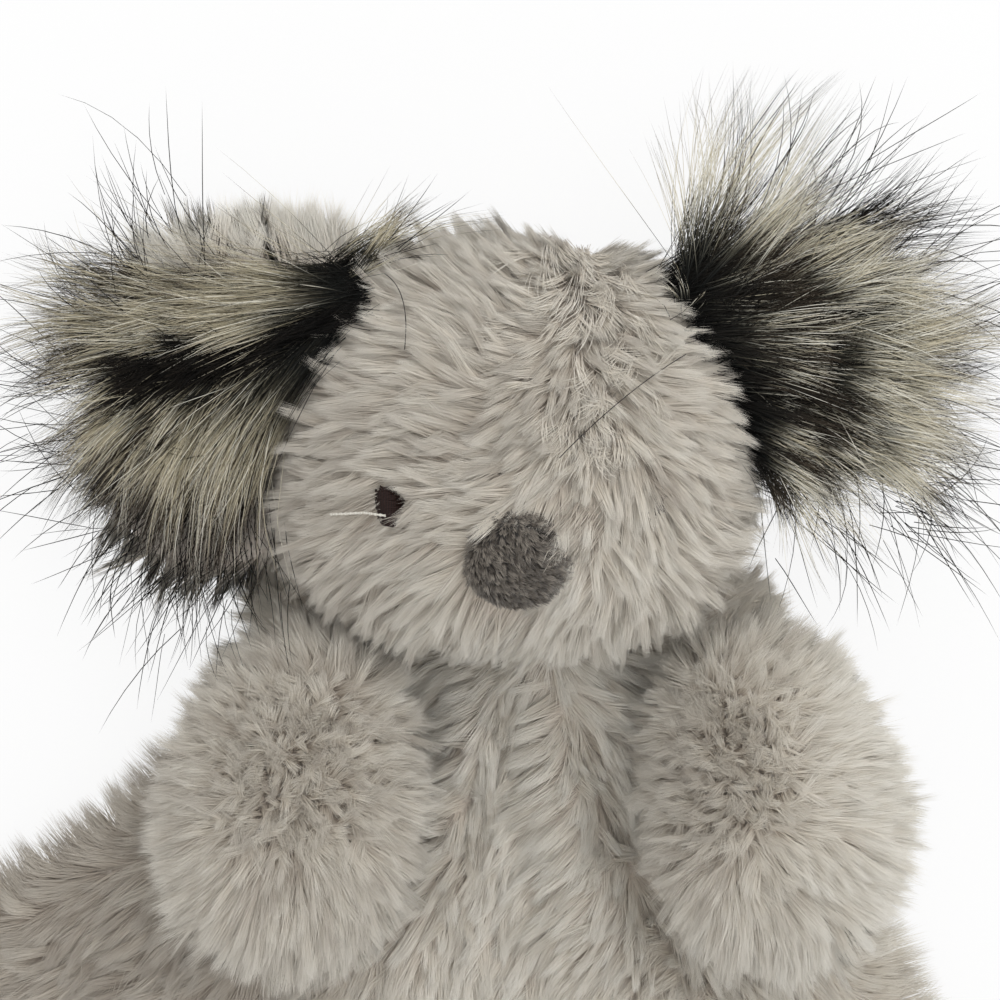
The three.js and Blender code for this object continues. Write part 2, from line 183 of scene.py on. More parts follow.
# which roots to keep: so many above a seam and so many below it
def keepSome(above, wantAbove, wantBelow, rng):
    keep = np.zeros(len(above), bool)
    for half, want in ((True, wantAbove), (False, wantBelow)):
        keep[rng.permutation(np.flatnonzero(above == half))[:int(want * thinning)]] = True
    return keep


def areaOf(surface):
    return 0.5 * np.linalg.norm(crossOf(surface["points"], surface["faces"]), axis=1).sum()


# values read off a table of places (x, y, value...), blended by nearness
def readTable(points, table, spread):
    table = np.array(table, float)
    gaps = ((points[:, None, :2] - table[None, :, :2]) ** 2).sum(2)
    weights = np.exp(-gaps / (2 * spread ** 2)) + 1e-6 / (1 + gaps)
    return (weights @ table[:, 2:]) / weights.sum(1, keepdims=True)


# the way that the pile is combed, from a table of angles seen from above
def combedWay(points, table, spread):
    table = np.array(table, float)
    angle = np.radians(table[:, 2])
    ways = np.column_stack([table[:, :2], np.cos(angle), np.sin(angle)])
    return np.column_stack([readTable(points, ways, spread), np.zeros(len(points))])


def layOn(ways, normals, spare):
    flat = ways - (ways * normals).sum(1, keepdims=True) * normals
    weak = np.linalg.norm(flat, axis=1) < 0.08
    other = spare - (spare * normals).sum(1, keepdims=True) * normals
    flat[weak] = other[weak]
    return unit(flat)


def evenly(line, count):
    line = np.asarray(line)
    size = np.linalg.norm(np.diff(line, axis=0), axis=1)
    run = np.concatenate([[0], np.cumsum(size)])
    places = np.linspace(0, run[-1], count)
    return np.column_stack([np.interp(places, run, line[:, axis]) for axis in range(line.shape[1])])


# places along a line seen from above, counted in its points
def placesOn(line, spots):
    corners = np.arange(len(line))
    return np.column_stack([np.interp(spots, corners, line[:, axis]) for axis in range(2)])


# heights of a form under places seen from above, far below where it has none
def heightsUnder(tree, places):
    found = []
    for x, y in places.tolist():
        hit = tree.ray_cast(Vector((x, y, 300)), Vector((0, 0, -1)))[0]
        found.append(-500.0 if hit is None else hit[2])
    return np.array(found)


def nearestOf(places, points):
    tree = KDTree(len(places))
    for index, place in enumerate(places):
        tree.insert(place, index)
    tree.balance()
    return np.array([tree.find(point)[1] for point in points.tolist()])


# distance to a line seen from above, below 0 to the left of it
def besideLine(points, line):
    places = evenly(line, 60)
    near = nearestOf(np.column_stack([places, np.zeros(60)]), points * np.array([1, 1, 0]))
    gap = np.linalg.norm(points[:, :2] - places[near], axis=1)
    return gap * np.sign(points[:, 0] - places[near, 0])


# hairs as bent lines: each leaves its root, leans over along the nap and joins its lock
# settings: its length, hairs in a lock and how far they join it, how the nap swirls, how locks and
# single hairs turn from it, the lean at root and tip, and how that varies
def growHairs(roots, normals, flow, settings, rng, stand=0.0):
    count, steps = len(roots), settings["steps"]
    centres = rng.choice(count, max(1, int(count / settings["perLock"])), replace=False)
    lock = nearestOf(roots[centres], roots)
    total = len(centres)
    length = settings["length"] * (1 + settings["uneven"] * rng.uniform(-1, 1, count))
    length *= (1 + settings["lockUneven"] * rng.uniform(-1, 1, total))[lock]
    turn = settings["swirl"] * ripple(roots, settings["swirlSize"], rng)
    turn += rng.normal(0, settings["lockTurn"], total)[lock] + rng.normal(0, settings["stray"], count)
    stand = np.broadcast_to(stand, count)
    turn += stand * rng.normal(0, settings.get("muss", 40), total)[lock]  # mussed where it stands up
    length = length * (1 - 0.22 * stand)
    side = np.cross(normals, flow)
    turn = np.radians(turn)[:, None]
    flow = unit(flow * np.cos(turn) + side * np.sin(turn))
    lift = rng.normal(0, settings["lockLift"], total)[lock] + rng.normal(0, settings["lift"], count)
    lean = 1 - 0.55 * stand
    start, end = np.radians(settings["lean"][0] * lean + lift), np.radians(settings["lean"][1] * lean + lift)
    wave = rng.normal(0, settings["wave"], (count, steps))
    path = [roots]
    for step in range(steps):
        bent = (start + (end - start) * (step + 0.5) / steps)[:, None]
        way = np.cos(bent) * normals + np.sin(bent) * flow + wave[:, step:step + 1] * side
        path.append(path[-1] + (length / steps)[:, None] * unit(way))
    paths = np.stack(path, 1)
    share = np.linspace(0, 1, steps + 1)
    pull = (settings["lock"] * (1 - 0.35 * stand) * rng.uniform(0.6, 1, count))[:, None] * share ** 1.3
    paths += pull[:, :, None] * (paths[centres[lock]] - paths)
    return paths, rng.normal(0, 1, total)[lock]


# hairs that would cover a spot (x, y, half width, half height) end at its edge
def trimmed(paths, spot, rng):
    x, y, wide, tall = spot
    steps = paths.shape[1] - 1
    fine = np.linspace(0, steps, steps * 9 + 1)
    low = np.minimum(fine.astype(int), steps - 1)
    share = (fine - low)[None, :, None]
    dense = paths[:, low] * (1 - share) + paths[:, low + 1] * share
    inside = ((dense[:, :, 0] - x) / wide) ** 2 + ((dense[:, :, 1] - y) / tall) ** 2 < 1
    hit = inside.any(1) & (dense[:, 0, 2] > faceHeight)
    keep = fine[inside.argmax(1)] / steps + rng.uniform(-0.04, 0.1, len(paths))
    keep = np.where(hit, np.clip(keep, 0.06, 1), 1)
    place = np.linspace(0, 1, steps + 1)[None] * keep[:, None] * steps
    low = np.minimum(place.astype(int), steps - 1)
    share = (place - low)[:, :, None]
    rows = np.arange(len(paths))[:, None]
    return paths[rows, low] * (1 - share) + paths[rows, low + 1] * share


# each hair is a closed three-sided spike; its map holds the tone across and root to tip upwards
def hairMesh(name, paths, widths, tones, material, rng, outward=None):
    count, steps = paths.shape[0], paths.shape[1]
    rings = steps - 1
    along = unit(np.gradient(paths, axis=1))
    guide = unit(rng.normal(size=(count, 1, 3)))
    across = unit(np.cross(along, guide))
    other = np.cross(along, across)
    corners = []
    for side in range(3):
        turn = 2 * math.pi * side / 3
        reach = (across * math.cos(turn) + other * math.sin(turn)) * widths[:, :, None] / 2
        corners.append((paths + reach)[:, :rings])
    points = np.stack(corners, 2).reshape(count, rings * 3, 3)
    points = np.concatenate([points, paths[:, -1:]], 1)
    faces = []
    for ring in range(rings):
        for side in range(3):
            a, b = ring * 3 + side, ring * 3 + (side + 1) % 3
            if ring < rings - 1:
                faces += [(a, b, b + 3), (a, b + 3, a + 3)]
            else:
                faces.append((a, b, rings * 3))
    faces.append((0, 2, 1))
    faces = np.array(faces)
    size = rings * 3 + 1
    spots = np.zeros((size, 2))
    spots[:-1, 0] = np.tile((-0.004, 0.004, 0.0), rings)
    spots[:-1, 1] = np.repeat(np.arange(rings) / rings, 3)
    spots[2, 1], spots[-1, 1] = 0.02, 1.0
    allFaces = (faces[None] + np.arange(count)[:, None, None] * size).reshape(-1, 3)
    allSpots = np.broadcast_to(spots[faces.ravel()], (count, faces.size, 2)).copy()
    allSpots[:, :, 0] += np.clip(tones, 0.01, 0.99)[:, None]
    shading = None
    if outward is not None:  # a straight hair's tip is lit as the surface that it grows from
        sides = unit(unit(points[:, :3] - paths[:, :1]) + 0.6 * outward[:, None])
        shading = np.concatenate([sides, outward[:, None]], 1).reshape(-1, 3)
    return makePiece(name, points.reshape(-1, 3), allFaces, material, allSpots.reshape(-1, 2),
                     shading=shading)


# thickness from root to tip
def taper(count, steps, width):
    profile = np.interp(np.linspace(0, 1, steps + 1), [0, 0.4, 0.75, 1], [1, 1.05, 0.75, 0.12])
    return np.broadcast_to(profile * width, (count, steps + 1))


# several pieces where one would hold too many hairs
def hairPieces(name, paths, width, tones, material, rng, sortBy, outward=None):
    most = 185000 // (6 * (paths.shape[1] - 2) + 4)
    groups = np.array_split(np.argsort(sortBy), max(1, math.ceil(len(paths) / most)))
    pieces = []
    for number, group in enumerate(groups):
        label = name if len(groups) == 1 else f"{name}_{number + 1}"
        widths = (taper(len(group), paths.shape[1] - 1, 1.0)
                  * np.broadcast_to(width, len(paths))[group][:, None])
        facing = None if outward is None else outward[group]
        pieces.append(hairMesh(label, paths[group], widths, tones[group], material, rng, facing))
    return pieces


def makePiece(name, points, faces, material, spots=None, smooth=True, shading=None):
    mesh = bpy.data.meshes.new(name)
    faces = np.asarray(faces, np.int32)
    corners = faces.shape[1]
    mesh.vertices.add(len(points))
    mesh.vertices.foreach_set("co", (np.asarray(points) * mm).astype(np.float32).ravel())
    mesh.loops.add(faces.size)
    mesh.loops.foreach_set("vertex_index", faces.ravel())
    mesh.polygons.add(len(faces))
    mesh.polygons.foreach_set("loop_start", np.arange(0, faces.size, corners, dtype=np.int32))
    if spots is not None:
        places = mesh.uv_layers.new(name="OFBake")
        places.data.foreach_set("uv", spots.astype(np.float32).ravel())
    mesh.update(calc_edges=True)
    if smooth:
        mesh.shade_smooth()
    if shading is not None:
        mesh.normals_split_custom_set_from_vertices(shading.tolist())
    mesh.materials.append(material)
    piece = bpy.data.objects.new(name, mesh)
    bpy.context.scene.collection.objects.link(piece)
    return piece


# a mesh for Blender's own editing, and back
def editable(points, faces):
    work = bmesh.new()
    corners = [work.verts.new(point) for point in points]
    for face in faces:
        work.faces.new([corners[index] for index in face])
    return work


def readBack(work):
    work.verts.index_update()
    points = np.array([corner.co[:] for corner in work.verts])
    faces = np.array([[corner.index for corner in face.verts] for face in work.faces])
    work.free()
    return points, faces


# faces of a closed dome: its top point, rings of points outwards and down, and a point below
def domeFaces(rings, columns):
    faces, last = [], 1 + (rings - 1) * columns
    for column in range(columns):
        beside = (column + 1) % columns
        faces.append((0, 1 + column, 1 + beside))
        for ring in range(rings - 1):
            a, b = 1 + ring * columns + column, 1 + ring * columns + beside
            faces += [(a, a + columns, b + columns), (a, b + columns, b)]
        faces.append((last + columns, last + beside, last + column))
    return np.array(faces)


# lengths of thread and the like: tubes along lines of points
def tubeMesh(lines, radii, sides=6):
    points, faces = [], []
    for line, radius in zip(lines, radii):
        line = np.asarray(line, float)
        radius = np.broadcast_to(radius, len(line))
        along = unit(np.gradient(line, axis=0))
        guide = np.array([0.31, 0.57, 0.76])
        across = unit(np.cross(along, guide))
        other = np.cross(along, across)
        first = sum(len(block) for block in points)
        ring = np.arange(sides) * 2 * math.pi / sides
        block = line[:, None] + radius[:, None, None] * (
            across[:, None] * np.cos(ring)[None, :, None] + other[:, None] * np.sin(ring)[None, :, None])
        points.append(np.concatenate([block.reshape(-1, 3), line[:1], line[-1:]]))
        low, high = first + len(line) * sides, first + len(line) * sides + 1
        for step in range(len(line) - 1):
            for side in range(sides):
                a, b = first + step * sides + side, first + step * sides + (side + 1) % sides
                faces += [(a, b, b + sides), (a, b + sides, a + sides)]
        for side in range(sides):
            a, b = first + side, first + (side + 1) % sides
            shift = (len(line) - 1) * sides
            faces += [(low, b, a), (high, a + shift, b + shift)]
    return np.concatenate(points), np.array(faces)


def freshMaterial(name):
    material = bpy.data.materials.new(name)
    material.use_nodes = True
    return (material, material.node_tree.nodes, material.node_tree.links,
            material.node_tree.nodes["Principled BSDF"])


def addRamp(nodes, stops):
    ramp = nodes.new("ShaderNodeValToRGB")
    band = ramp.color_ramp
    while len(band.elements) < len(stops):
        band.elements.new(0.5)
    for element, (place, colour) in zip(band.elements, stops):
        element.position = place
        element.color = colour
    return ramp


def addMix(nodes, links, kind, first, second, share):
    mix = nodes.new("ShaderNodeMix")
    mix.data_type = "RGBA"
    mix.blend_type = kind
    mix.inputs[0].default_value = share
    links.new(first, mix.inputs[6])
    links.new(second, mix.inputs[7])
    return mix


# a texture that keeps to the piece's own space
def addTexture(nodes, links, kind, **values):
    place = nodes.new("ShaderNodeTexCoord")
    texture = nodes.new(f"ShaderNodeTex{kind}")
    for name, value in values.items():
        texture.inputs[name].default_value = value
    links.new(place.outputs["Object"], texture.inputs["Vector"])
    return texture


def addBump(nodes, links, shader, height, strength, depth):
    bump = nodes.new("ShaderNodeBump")
    bump.inputs["Strength"].default_value = strength
    bump.inputs["Distance"].default_value = depth
    links.new(height, bump.inputs["Height"])
    links.new(bump.outputs["Normal"], shader.inputs["Normal"])
    return bump


# hair colour: root to tip, then lighter or darker by the hair's tone, which for the plush pile holds its own
# tone and painted light and shade
def hairMaterial(name, along, tones, shine, sheen, darkAlong=None, paleAlong=None):
    material, nodes, links, shader = freshMaterial(name)
    place = nodes.new("ShaderNodeUVMap")
    place.uv_map = "OFBake"
    parts = nodes.new("ShaderNodeSeparateXYZ")
    links.new(place.outputs["UV"], parts.inputs[0])
    length = addRamp(nodes, along)
    links.new(parts.outputs["Y"], length.inputs[0])
    colour = length.outputs[0]
    black, white = (0, 0, 0, 1), (1, 1, 1, 1)
    others = [(darkAlong, [(0.42, white), (0.56, black)]), (paleAlong, [(0.78, black), (0.92, white)])]
    for otherAlong, which in others:  # some hairs have other colours along their length
        if otherAlong:
            other = addRamp(nodes, otherAlong)
            links.new(parts.outputs["Y"], other.inputs[0])
            kind = addRamp(nodes, which)
            links.new(parts.outputs["X"], kind.inputs[0])
            both = addMix(nodes, links, "MIX", colour, other.outputs[0], 0.5)
            links.new(kind.outputs[0], both.inputs[0])
            colour = both.outputs[2]
    tone = addRamp(nodes, tones)
    links.new(parts.outputs["X"], tone.inputs[0])
    shaded = addMix(nodes, links, "MULTIPLY", colour, tone.outputs[0], 1.0)
    links.new(shaded.outputs[2], shader.inputs["Base Color"])
    shader.inputs["Roughness"].default_value = 0.7
    shader.inputs["Specular IOR Level"].default_value = shine
    shader.inputs["Sheen Weight"].default_value = sheen
    shader.inputs["Sheen Roughness"].default_value = 0.6
    return material


# knitted backing that the pile is rooted in, and other plain cloths
def clothMaterial(name, dark, light, scale, depth):
    material, nodes, links, shader = freshMaterial(name)
    knit = addTexture(nodes, links, "Voronoi", Scale=scale)
    cloud = addTexture(nodes, links, "Noise", Scale=scale / 14, Detail=5)
    loops = addRamp(nodes, [(0.0, light), (0.75, dark)])
    links.new(knit.outputs["Distance"], loops.inputs[0])
    patches = addRamp(nodes, [(0.3, (0.7, 0.7, 0.7, 1)), (0.7, (1, 1, 1, 1))])
    links.new(cloud.outputs["Fac"], patches.inputs[0])
    colour = addMix(nodes, links, "MULTIPLY", loops.outputs[0], patches.outputs[0], 1.0)
    links.new(colour.outputs[2], shader.inputs["Base Color"])
    bump = addBump(nodes, links, shader, knit.outputs["Distance"], 0.6, depth)
    bump.invert = True
    shader.inputs["Roughness"].default_value = 0.85
    shader.inputs["Sheen Weight"].default_value = 0.2
    shader.inputs["Specular IOR Level"].default_value = 0.15
    return material


# white filling: crossing fibres over soft lumps
def fillingMaterial(name):
    material, nodes, links, shader = freshMaterial(name)
    fibres = addTexture(nodes, links, "Noise", Scale=900, Detail=4, Distortion=2.5)
    colour = addRamp(nodes, [(0.3, tint(214, 211, 203)), (0.65, tint(246, 245, 240))])
    links.new(fibres.outputs["Fac"], colour.inputs[0])
    links.new(colour.outputs[0], shader.inputs["Base Color"])
    addBump(nodes, links, shader, fibres.outputs["Fac"], 0.7, 0.0008)
    shader.inputs["Roughness"].default_value = 0.9
    shader.inputs["Sheen Weight"].default_value = 0.3
    return material


# sewing thread: twisted plies with a soft shine
def threadMaterial(name, dark, light, rough, sheen):
    material, nodes, links, shader = freshMaterial(name)
    twist = addTexture(nodes, links, "Wave", Scale=900, Distortion=3, Detail=3)
    colour = addRamp(nodes, [(0.1, dark), (0.9, light)])
    links.new(twist.outputs["Fac"], colour.inputs[0])
    links.new(colour.outputs[0], shader.inputs["Base Color"])
    addBump(nodes, links, shader, twist.outputs["Fac"], 0.4, 0.00015)
    shader.inputs["Roughness"].default_value = rough
    shader.inputs["Sheen Weight"].default_value = sheen
    shader.inputs["Specular IOR Level"].default_value = 0.25
    return material


plushTones = [(0.0, (0.56, 0.525, 0.50, 1)), (0.5, (0.88, 0.862, 0.838, 1)), (1.0, (1, 1, 1, 1))]
# the pile's colour from root to tip, darker at the root: painted shade deep in the pile
plushAlong = [(0.0, tint(224, 214, 202)), (0.3, tint(236, 229, 217)), (0.65, tint(247, 242, 231)),
              (1.0, tint(251, 248, 239))]
plushHair = hairMaterial("plush pile", plushAlong, plushTones, 0.06, 0.14)
plushCloth = clothMaterial("plush backing knit", tint(204, 192, 180), tint(234, 225, 213), 900, 0.0004)
earHair = hairMaterial(
    "ear guard hair",
    [(0.0, tint(6, 8, 8)), (0.2, tint(30, 31, 28)), (0.33, tint(92, 87, 74)), (0.5, tint(236, 226, 198)),
     (0.68, tint(234, 224, 199)), (0.8, tint(134, 122, 108)), (0.9, tint(52, 44, 40)),
     (1.0, tint(16, 13, 13))],
    [(0.0, (0.1, 0.1, 0.1, 1)), (0.12, (0.25, 0.25, 0.25, 1)), (0.2, (0.6, 0.6, 0.6, 1)),
     (0.42, (0.95, 0.95, 0.95, 1)), (0.56, (0.5, 0.49, 0.45, 1)), (0.9, (0.96, 0.96, 0.96, 1)),
     (1.0, (1, 1.01, 1.05, 1))],
    0.08, 0.03,
    [(0.0, tint(6, 7, 7)), (0.35, tint(38, 35, 30)), (0.6, tint(80, 70, 58)), (0.82, tint(30, 25, 23)),
     (1.0, tint(10, 8, 8))],
    [(0.0, tint(6, 8, 8)), (0.2, tint(34, 36, 34)), (0.33, tint(110, 108, 96)), (0.5, tint(246, 242, 226)),
     (0.78, tint(246, 242, 228)), (0.92, tint(186, 180, 166)), (1.0, tint(96, 90, 82))])
earUnder = hairMaterial(
    "ear undercoat", [(0.0, tint(6, 7, 7)), (0.5, tint(16, 17, 16)), (1.0, tint(44, 42, 37))],
    [(0.0, (0.5, 0.5, 0.5, 1)), (1.0, (1, 1, 1, 1))], 0.05, 0.02)
noseHair = hairMaterial(
    "nose velour", [(0.0, tint(58, 52, 47)), (0.4, tint(112, 104, 95)), (1.0, tint(196, 187, 174))],
    [(0.0, (0.26, 0.245, 0.235, 1)), (1.0, (1, 1, 1, 1))], 0.1, 0.2)
earCloth = clothMaterial("ear fur backing", tint(10, 11, 11), tint(26, 26, 24), 900, 0.0004)
noseCloth = clothMaterial("nose backing", tint(48, 43, 38), tint(80, 73, 66), 1200, 0.0002)
whiteFilling = fillingMaterial("polyester filling")
eyeThread = threadMaterial("eye embroidery", tint(10, 3, 2), tint(46, 24, 18), 0.6, 0.0)
paleThread = threadMaterial("loose pale thread", tint(196, 190, 176), tint(246, 243, 234), 0.5, 0.2)
neckThread = threadMaterial("gather thread", tint(168, 160, 145), tint(222, 216, 202), 0.55, 0.2)
strayThread = threadMaterial("stray dark hair", tint(20, 17, 16), tint(58, 50, 44), 0.5, 0.1)
print("materials ready")


def putOn(piece, body, slot, *nodes):
    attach(piece, body)
    if nodes:
        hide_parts(*nodes)
    return piece


# a panel of cloth with real thickness, cut from a skin by flat cuts (point, way to keep)
def cutPanel(name, surface, cuts, thickness, material):
    work = editable(surface["points"], surface["faces"])
    for point, way in cuts:
        everything = work.verts[:] + work.edges[:] + work.faces[:]
        bmesh.ops.bisect_plane(work, geom=everything, plane_co=point, plane_no=way, clear_inner=True)
    work.verts.ensure_lookup_table()
    work.normal_update()
    bmesh.ops.recalc_face_normals(work, faces=work.faces[:])
    bmesh.ops.solidify(work, geom=work.faces[:], thickness=thickness)
    bmesh.ops.triangulate(work, faces=work.faces[:])
    return makePiece(name, *readBack(work), material)


# loose filling: the CAD filling's form, lumpy and a little smaller than its cover
def addFilling(node, body, seed):
    rng = np.random.default_rng(seed)
    skin = wrapForm([node], 40, 64, 2)
    points = skin["points"]
    lumps = 0.45 * ripple(points, 13, rng) + 0.25 * ripple(points, 5, rng)
    points = points + skin["normals"] * (np.clip(lumps, -1.5, 0.9) - 0.9)[:, None]
    piece = makePiece(node.replace("filling", "stuffing"), points, skin["faces"], whiteFilling)
    putOn(piece, body, "filling", node)
    return piece


# the head: four panels of plush round the filling
head = {
    "clothOut": 3.0,       # the backing lies this far outside the filling
    "clothThick": 1.1,
    "pileOut": 9.3,        # the pile's outside, for what lies on the face
    "faceHairs": 150000,
    "backHairs": 20000,
    "seamHeight": 38,      # where the face panels meet the back panels
    "hair": {"steps": 1, "length": 11.5, "uneven": 0.22, "lockUneven": 0.2, "perLock": 44, "lock": 0.8,
             "swirl": 12, "swirlSize": 18, "lockTurn": 15, "stray": 6, "lean": (50, 82), "lift": 5,
             "lockLift": 12, "wave": 0.05},
    "hairWidth": 0.24,
    "backHairWidth": 0.58,
    "earSeams": [[(-35, 88), (-37, 76), (-44, 70), (-52, 56)], [(37, 88), (40, 80), (50, 64), (57, 46)]],
    "parting": [(17, 93), (17, 82), (18, 70), (18, 58), (15, 47)],
    "wisps": 80,
    "wispHairs": 16,
    "eyeGap": (2.2, 3.6),  # half sizes of the gap in the pile over an eye
    "eyeShows": {"left": 0.94, "right": 0.0},
    # the comb of the face: x, y, angle from above
    "nap": [
        (-27, 90, 152), (-13, 93, 150), (-38, 77, 172), (-19, 71, 180), (-44, 60, 186), (-23, 56, 184),
        (-4, 72, 176), (-4, 52, 178), (0, 90, 160), (3, 80, 174), (10, 88, 212), (17, 87, 264),
        (23, 88, -45), (17, 95, 268), (9, 95, 236), (26, 94, -58), (31, 83, -20), (38, 75, -12),
        (10, 75, 206), (17, 74, 258), (24, 74, -58), (10, 63, 208), (17, 62, 258), (25, 62, -54),
        (33, 64, -34), (44, 56, -20), (16, 52, -100), (14, 42, -104), (23, 35, -92), (35, 44, -48),
        (45, 42, -25), (44, 27, -15), (24, 21, -90), (31, 16, -58), (40, 12, -40), (17, 14, -122),
        (27, 8, -80), (8, 6, -150), (-1, 5, -122), (-6, 8, -104), (-15, 8, -118), (-15, 16, -145),
        (-17, 22, -170), (-15, 27, 172), (-11, 35, 168), (-9, 46, 175), (-23, 42, 190), (-34, 40, 200),
        (-38, 29, 217), (-44, 40, 205), (-30, 21, 214), (-40, 16, 225), (-23, 12, 225), (-49, 48, 195),
        (0, 35, 180), (7, 46, 200), (11, 40, 226), (6, 31, 206),
    ],
    # and its tone: x, y, from 0 for dark to 1 for light; the pile's own tone with painted light and shade on
    # it: painted shade on the left cheek, painted highlights right of the nose and on the chin
    "tone": [
        (0, 60, 0.33), (-30, 60, 0.33), (-12, 90, 0.42), (20, 88, 0.46), (30, 70, 0.37), (40, 40, 0.37),
        (45, 25, 0.40), (20, 30, 0.52), (25, 15, 0.54), (0, 5, 0.70), (-20, 12, 0.42), (-40, 20, 0.20),
        (-40, 45, 0.20), (-20, 35, 0.35),
    ],
    "nose": (1.4, 21.3, 9.7, 10.1),  # middle and half sizes
    "eyes": {"left": (-26.6, 33.7), "right": (34.4, 34.4)},
}
headSkin = wrapForm(["head_filling"], 72, 128, 3)
headCloth = grown(headSkin, head["clothOut"])
headRoots = grown(headSkin, head["clothOut"] + head["clothThick"])
headOutside = grown(headSkin, head["pileOut"])
headTree = treeOf(headOutside["points"], headOutside["faces"])
seamGap = 0.15  # half the gap between two panels of cloth
faceHeight = 40  # what lies higher than this on the head faces up


def faceSpot(x, y):
    hit = headTree.ray_cast(Vector((x, y, 300)), Vector((0, 0, -1)))
    return np.array(hit[0]), np.array(hit[1])


def buildHead():
    level = head["seamHeight"]
    for side, sign in (("left", -1), ("right", 1)):
        for part, up in (("face", 1), ("back", -1)):
            cuts = [((sign * seamGap, 0, 0), (sign, 0, 0)), ((0, 0, level + up * seamGap), (0, 0, up))]
            piece = cutPanel(f"head_{part}_{side}_cloth", headCloth, cuts, head["clothThick"], plushCloth)
            putOn(piece, "head", "plush", f"head_{part}_{side}")
    rng = np.random.default_rng(11)
    roots, normals = scatter(headRoots, (head["faceHairs"] + head["backHairs"]) * 2.2 * thinning, rng)
    keep = keepSome(roots[:, 2] > level, head["faceHairs"], head["backHairs"], rng)
    noseX, noseY, noseWide, noseTall = head["nose"]
    inNose = ((roots[:, 0] - noseX) / noseWide) ** 2 + ((roots[:, 1] - noseY) / noseTall) ** 2 < 0.92
    keep &= ~(inNose & (normals[:, 2] > 0))
    for seam, way in zip(head["earSeams"], (-1, 1)):  # the ears cover the face past their seams
        keep &= ~((besideLine(roots, seam) * way > -1) & (roots[:, 2] > faceHeight) & (roots[:, 1] > 62))
    roots, normals = roots[keep], normals[keep]
    ways = unit(combedWay(roots, head["nap"], 7))
    parting = np.exp(-((roots[:, 0] - 17) / 15) ** 2) * easeBetween(roots[:, 1], 66, 82)
    ways[:, 2] = -0.7 * (1 - parting)
    behind = easeBetween(-normals[:, 2], 0.3, 0.9)[:, None]
    ways = ways * (1 - behind) + np.array([0, -1.0, 0]) * behind
    flow = layOn(ways, normals, np.array([[0, -1.0, 0.2]]))
    paths, lockTone = growHairs(roots, normals, flow, head["hair"], rng)
    paths[:, :, 2] = np.maximum(paths[:, :, 2], 0.3)
    for seam, way in zip(head["earSeams"], (-1, 1)):
        gap = besideLine(roots, seam) * way
        pressed = np.where(gap > 0, 1, np.exp(-(gap / 5) ** 2)) * np.exp(-(np.maximum(gap, 0) / 12) ** 2)
        pressed = (pressed * (roots[:, 2] > faceHeight) * easeBetween(roots[:, 1], 40, 60))[:, None, None]
        paths = paths + (roots[:, None] - paths) * 0.6 * pressed
        # hairs that would cross the seam end at it
        reach, edge = besideLine(paths[:, -1], seam) * way, rng.normal(-0.4, 0.6, len(roots))
        over = (reach > edge) & (gap < 8) & (roots[:, 2] > faceHeight) & (roots[:, 1] > seam[-1][1] - 2)
        keep = np.where(over, (edge - gap) / np.maximum(reach - gap, 0.1), 1)
        paths = roots[:, None] + (paths - roots[:, None]) * np.clip(keep, 0.22, 1)[:, None, None]
    for side in ("left", "right"):
        x, y = head["eyes"][side]
        free = rng.random(len(paths)) < head["eyeShows"][side]
        paths[free] = trimmed(paths[free], (x, y, *head["eyeGap"]), rng)
    # the pile's tone read off the table, painted light and shade included
    tones = readTable(roots, head["tone"], 12)[:, 0]
    tones = tones + 0.1 * lockTone + rng.normal(0, 0.03, len(roots))
    gap = np.linalg.norm(paths[:, 1:, :2].mean(1) - np.array(head["eyes"]["right"]) - np.array([1.6, 0]),
                         axis=1)
    tones -= 0.5 * np.exp(-(gap / 4.6) ** 2) * (normals[:, 2] > 0)  # dusky over the covered eye
    front = roots[:, 2] > level
    for side, sign in (("left", -1), ("right", 1)):
        for part, half in (("face", True), ("back", False)):
            mine = (front == half) & (np.sign(roots[:, 0]) == sign)
            width = head["hairWidth"] if half else head["backHairWidth"]
            for piece in hairPieces(f"head_{part}_{side}_pile", paths[mine], width, tones[mine], plushHair,
                                    rng, roots[mine][:, 1], normals[mine]):
                putOn(piece, "head", "plush", f"head_{part}_{side}")
    # wisps that curl over the parting
    line, count = head["parting"], int(head["wisps"] * thinning)
    spot = rng.uniform(0, 1, count)
    place = evenly(line, 100)[(spot * 99).astype(int)] + rng.normal(0, 1, (count, 2)) * np.array([6.5, 2])
    angle, bend = -92 + 4 * (place[:, 0] - 17) + rng.normal(0, 32, count), rng.normal(0, 55, count)
    lock = np.repeat(np.arange(count), head["wispHairs"])
    total = len(lock)
    angle = np.radians(angle[lock] + rng.normal(0, 6, total))
    bend = np.radians(bend[lock] + rng.normal(0, 10, total))
    size = rng.uniform(7, 12, count)[lock] * rng.uniform(0.8, 1.1, total)
    flat = [place[lock] + rng.normal(0, 0.7, (total, 2))]
    for step in range(4):
        way = angle + bend * (step + 0.5) / 4
        flat.append(flat[-1] + (size / 4)[:, None] * np.column_stack([np.cos(way), np.sin(way)]))
    flat = np.stack(flat, 1)
    height = heightsUnder(headTree, flat.reshape(-1, 2)).reshape(total, 5)
    height += np.array([-3.5, -1.2, 0, 0.2, -0.3]) + rng.uniform(-0.6, 0.6, (total, 1))
    seen = (height > 30).all(1)
    flat, height = flat[seen], height[seen]
    tones = readTable(flat[:, 0], head["tone"], 12)[:, 0] + rng.normal(0.2, 0.09, count)[lock][seen]
    piece = hairMesh("head_face_wisps", np.dstack([flat, height]), taper(len(flat), 4, 0.16), tones,
                     plushHair, rng)
    putOn(piece, "head", "plush", "head_face_left", "head_face_right")
    addFilling("head_filling", "head", 12)
    print("head: panels, pile and filling made,", int(areaOf(headRoots)), "sq mm of plush")


buildHead()

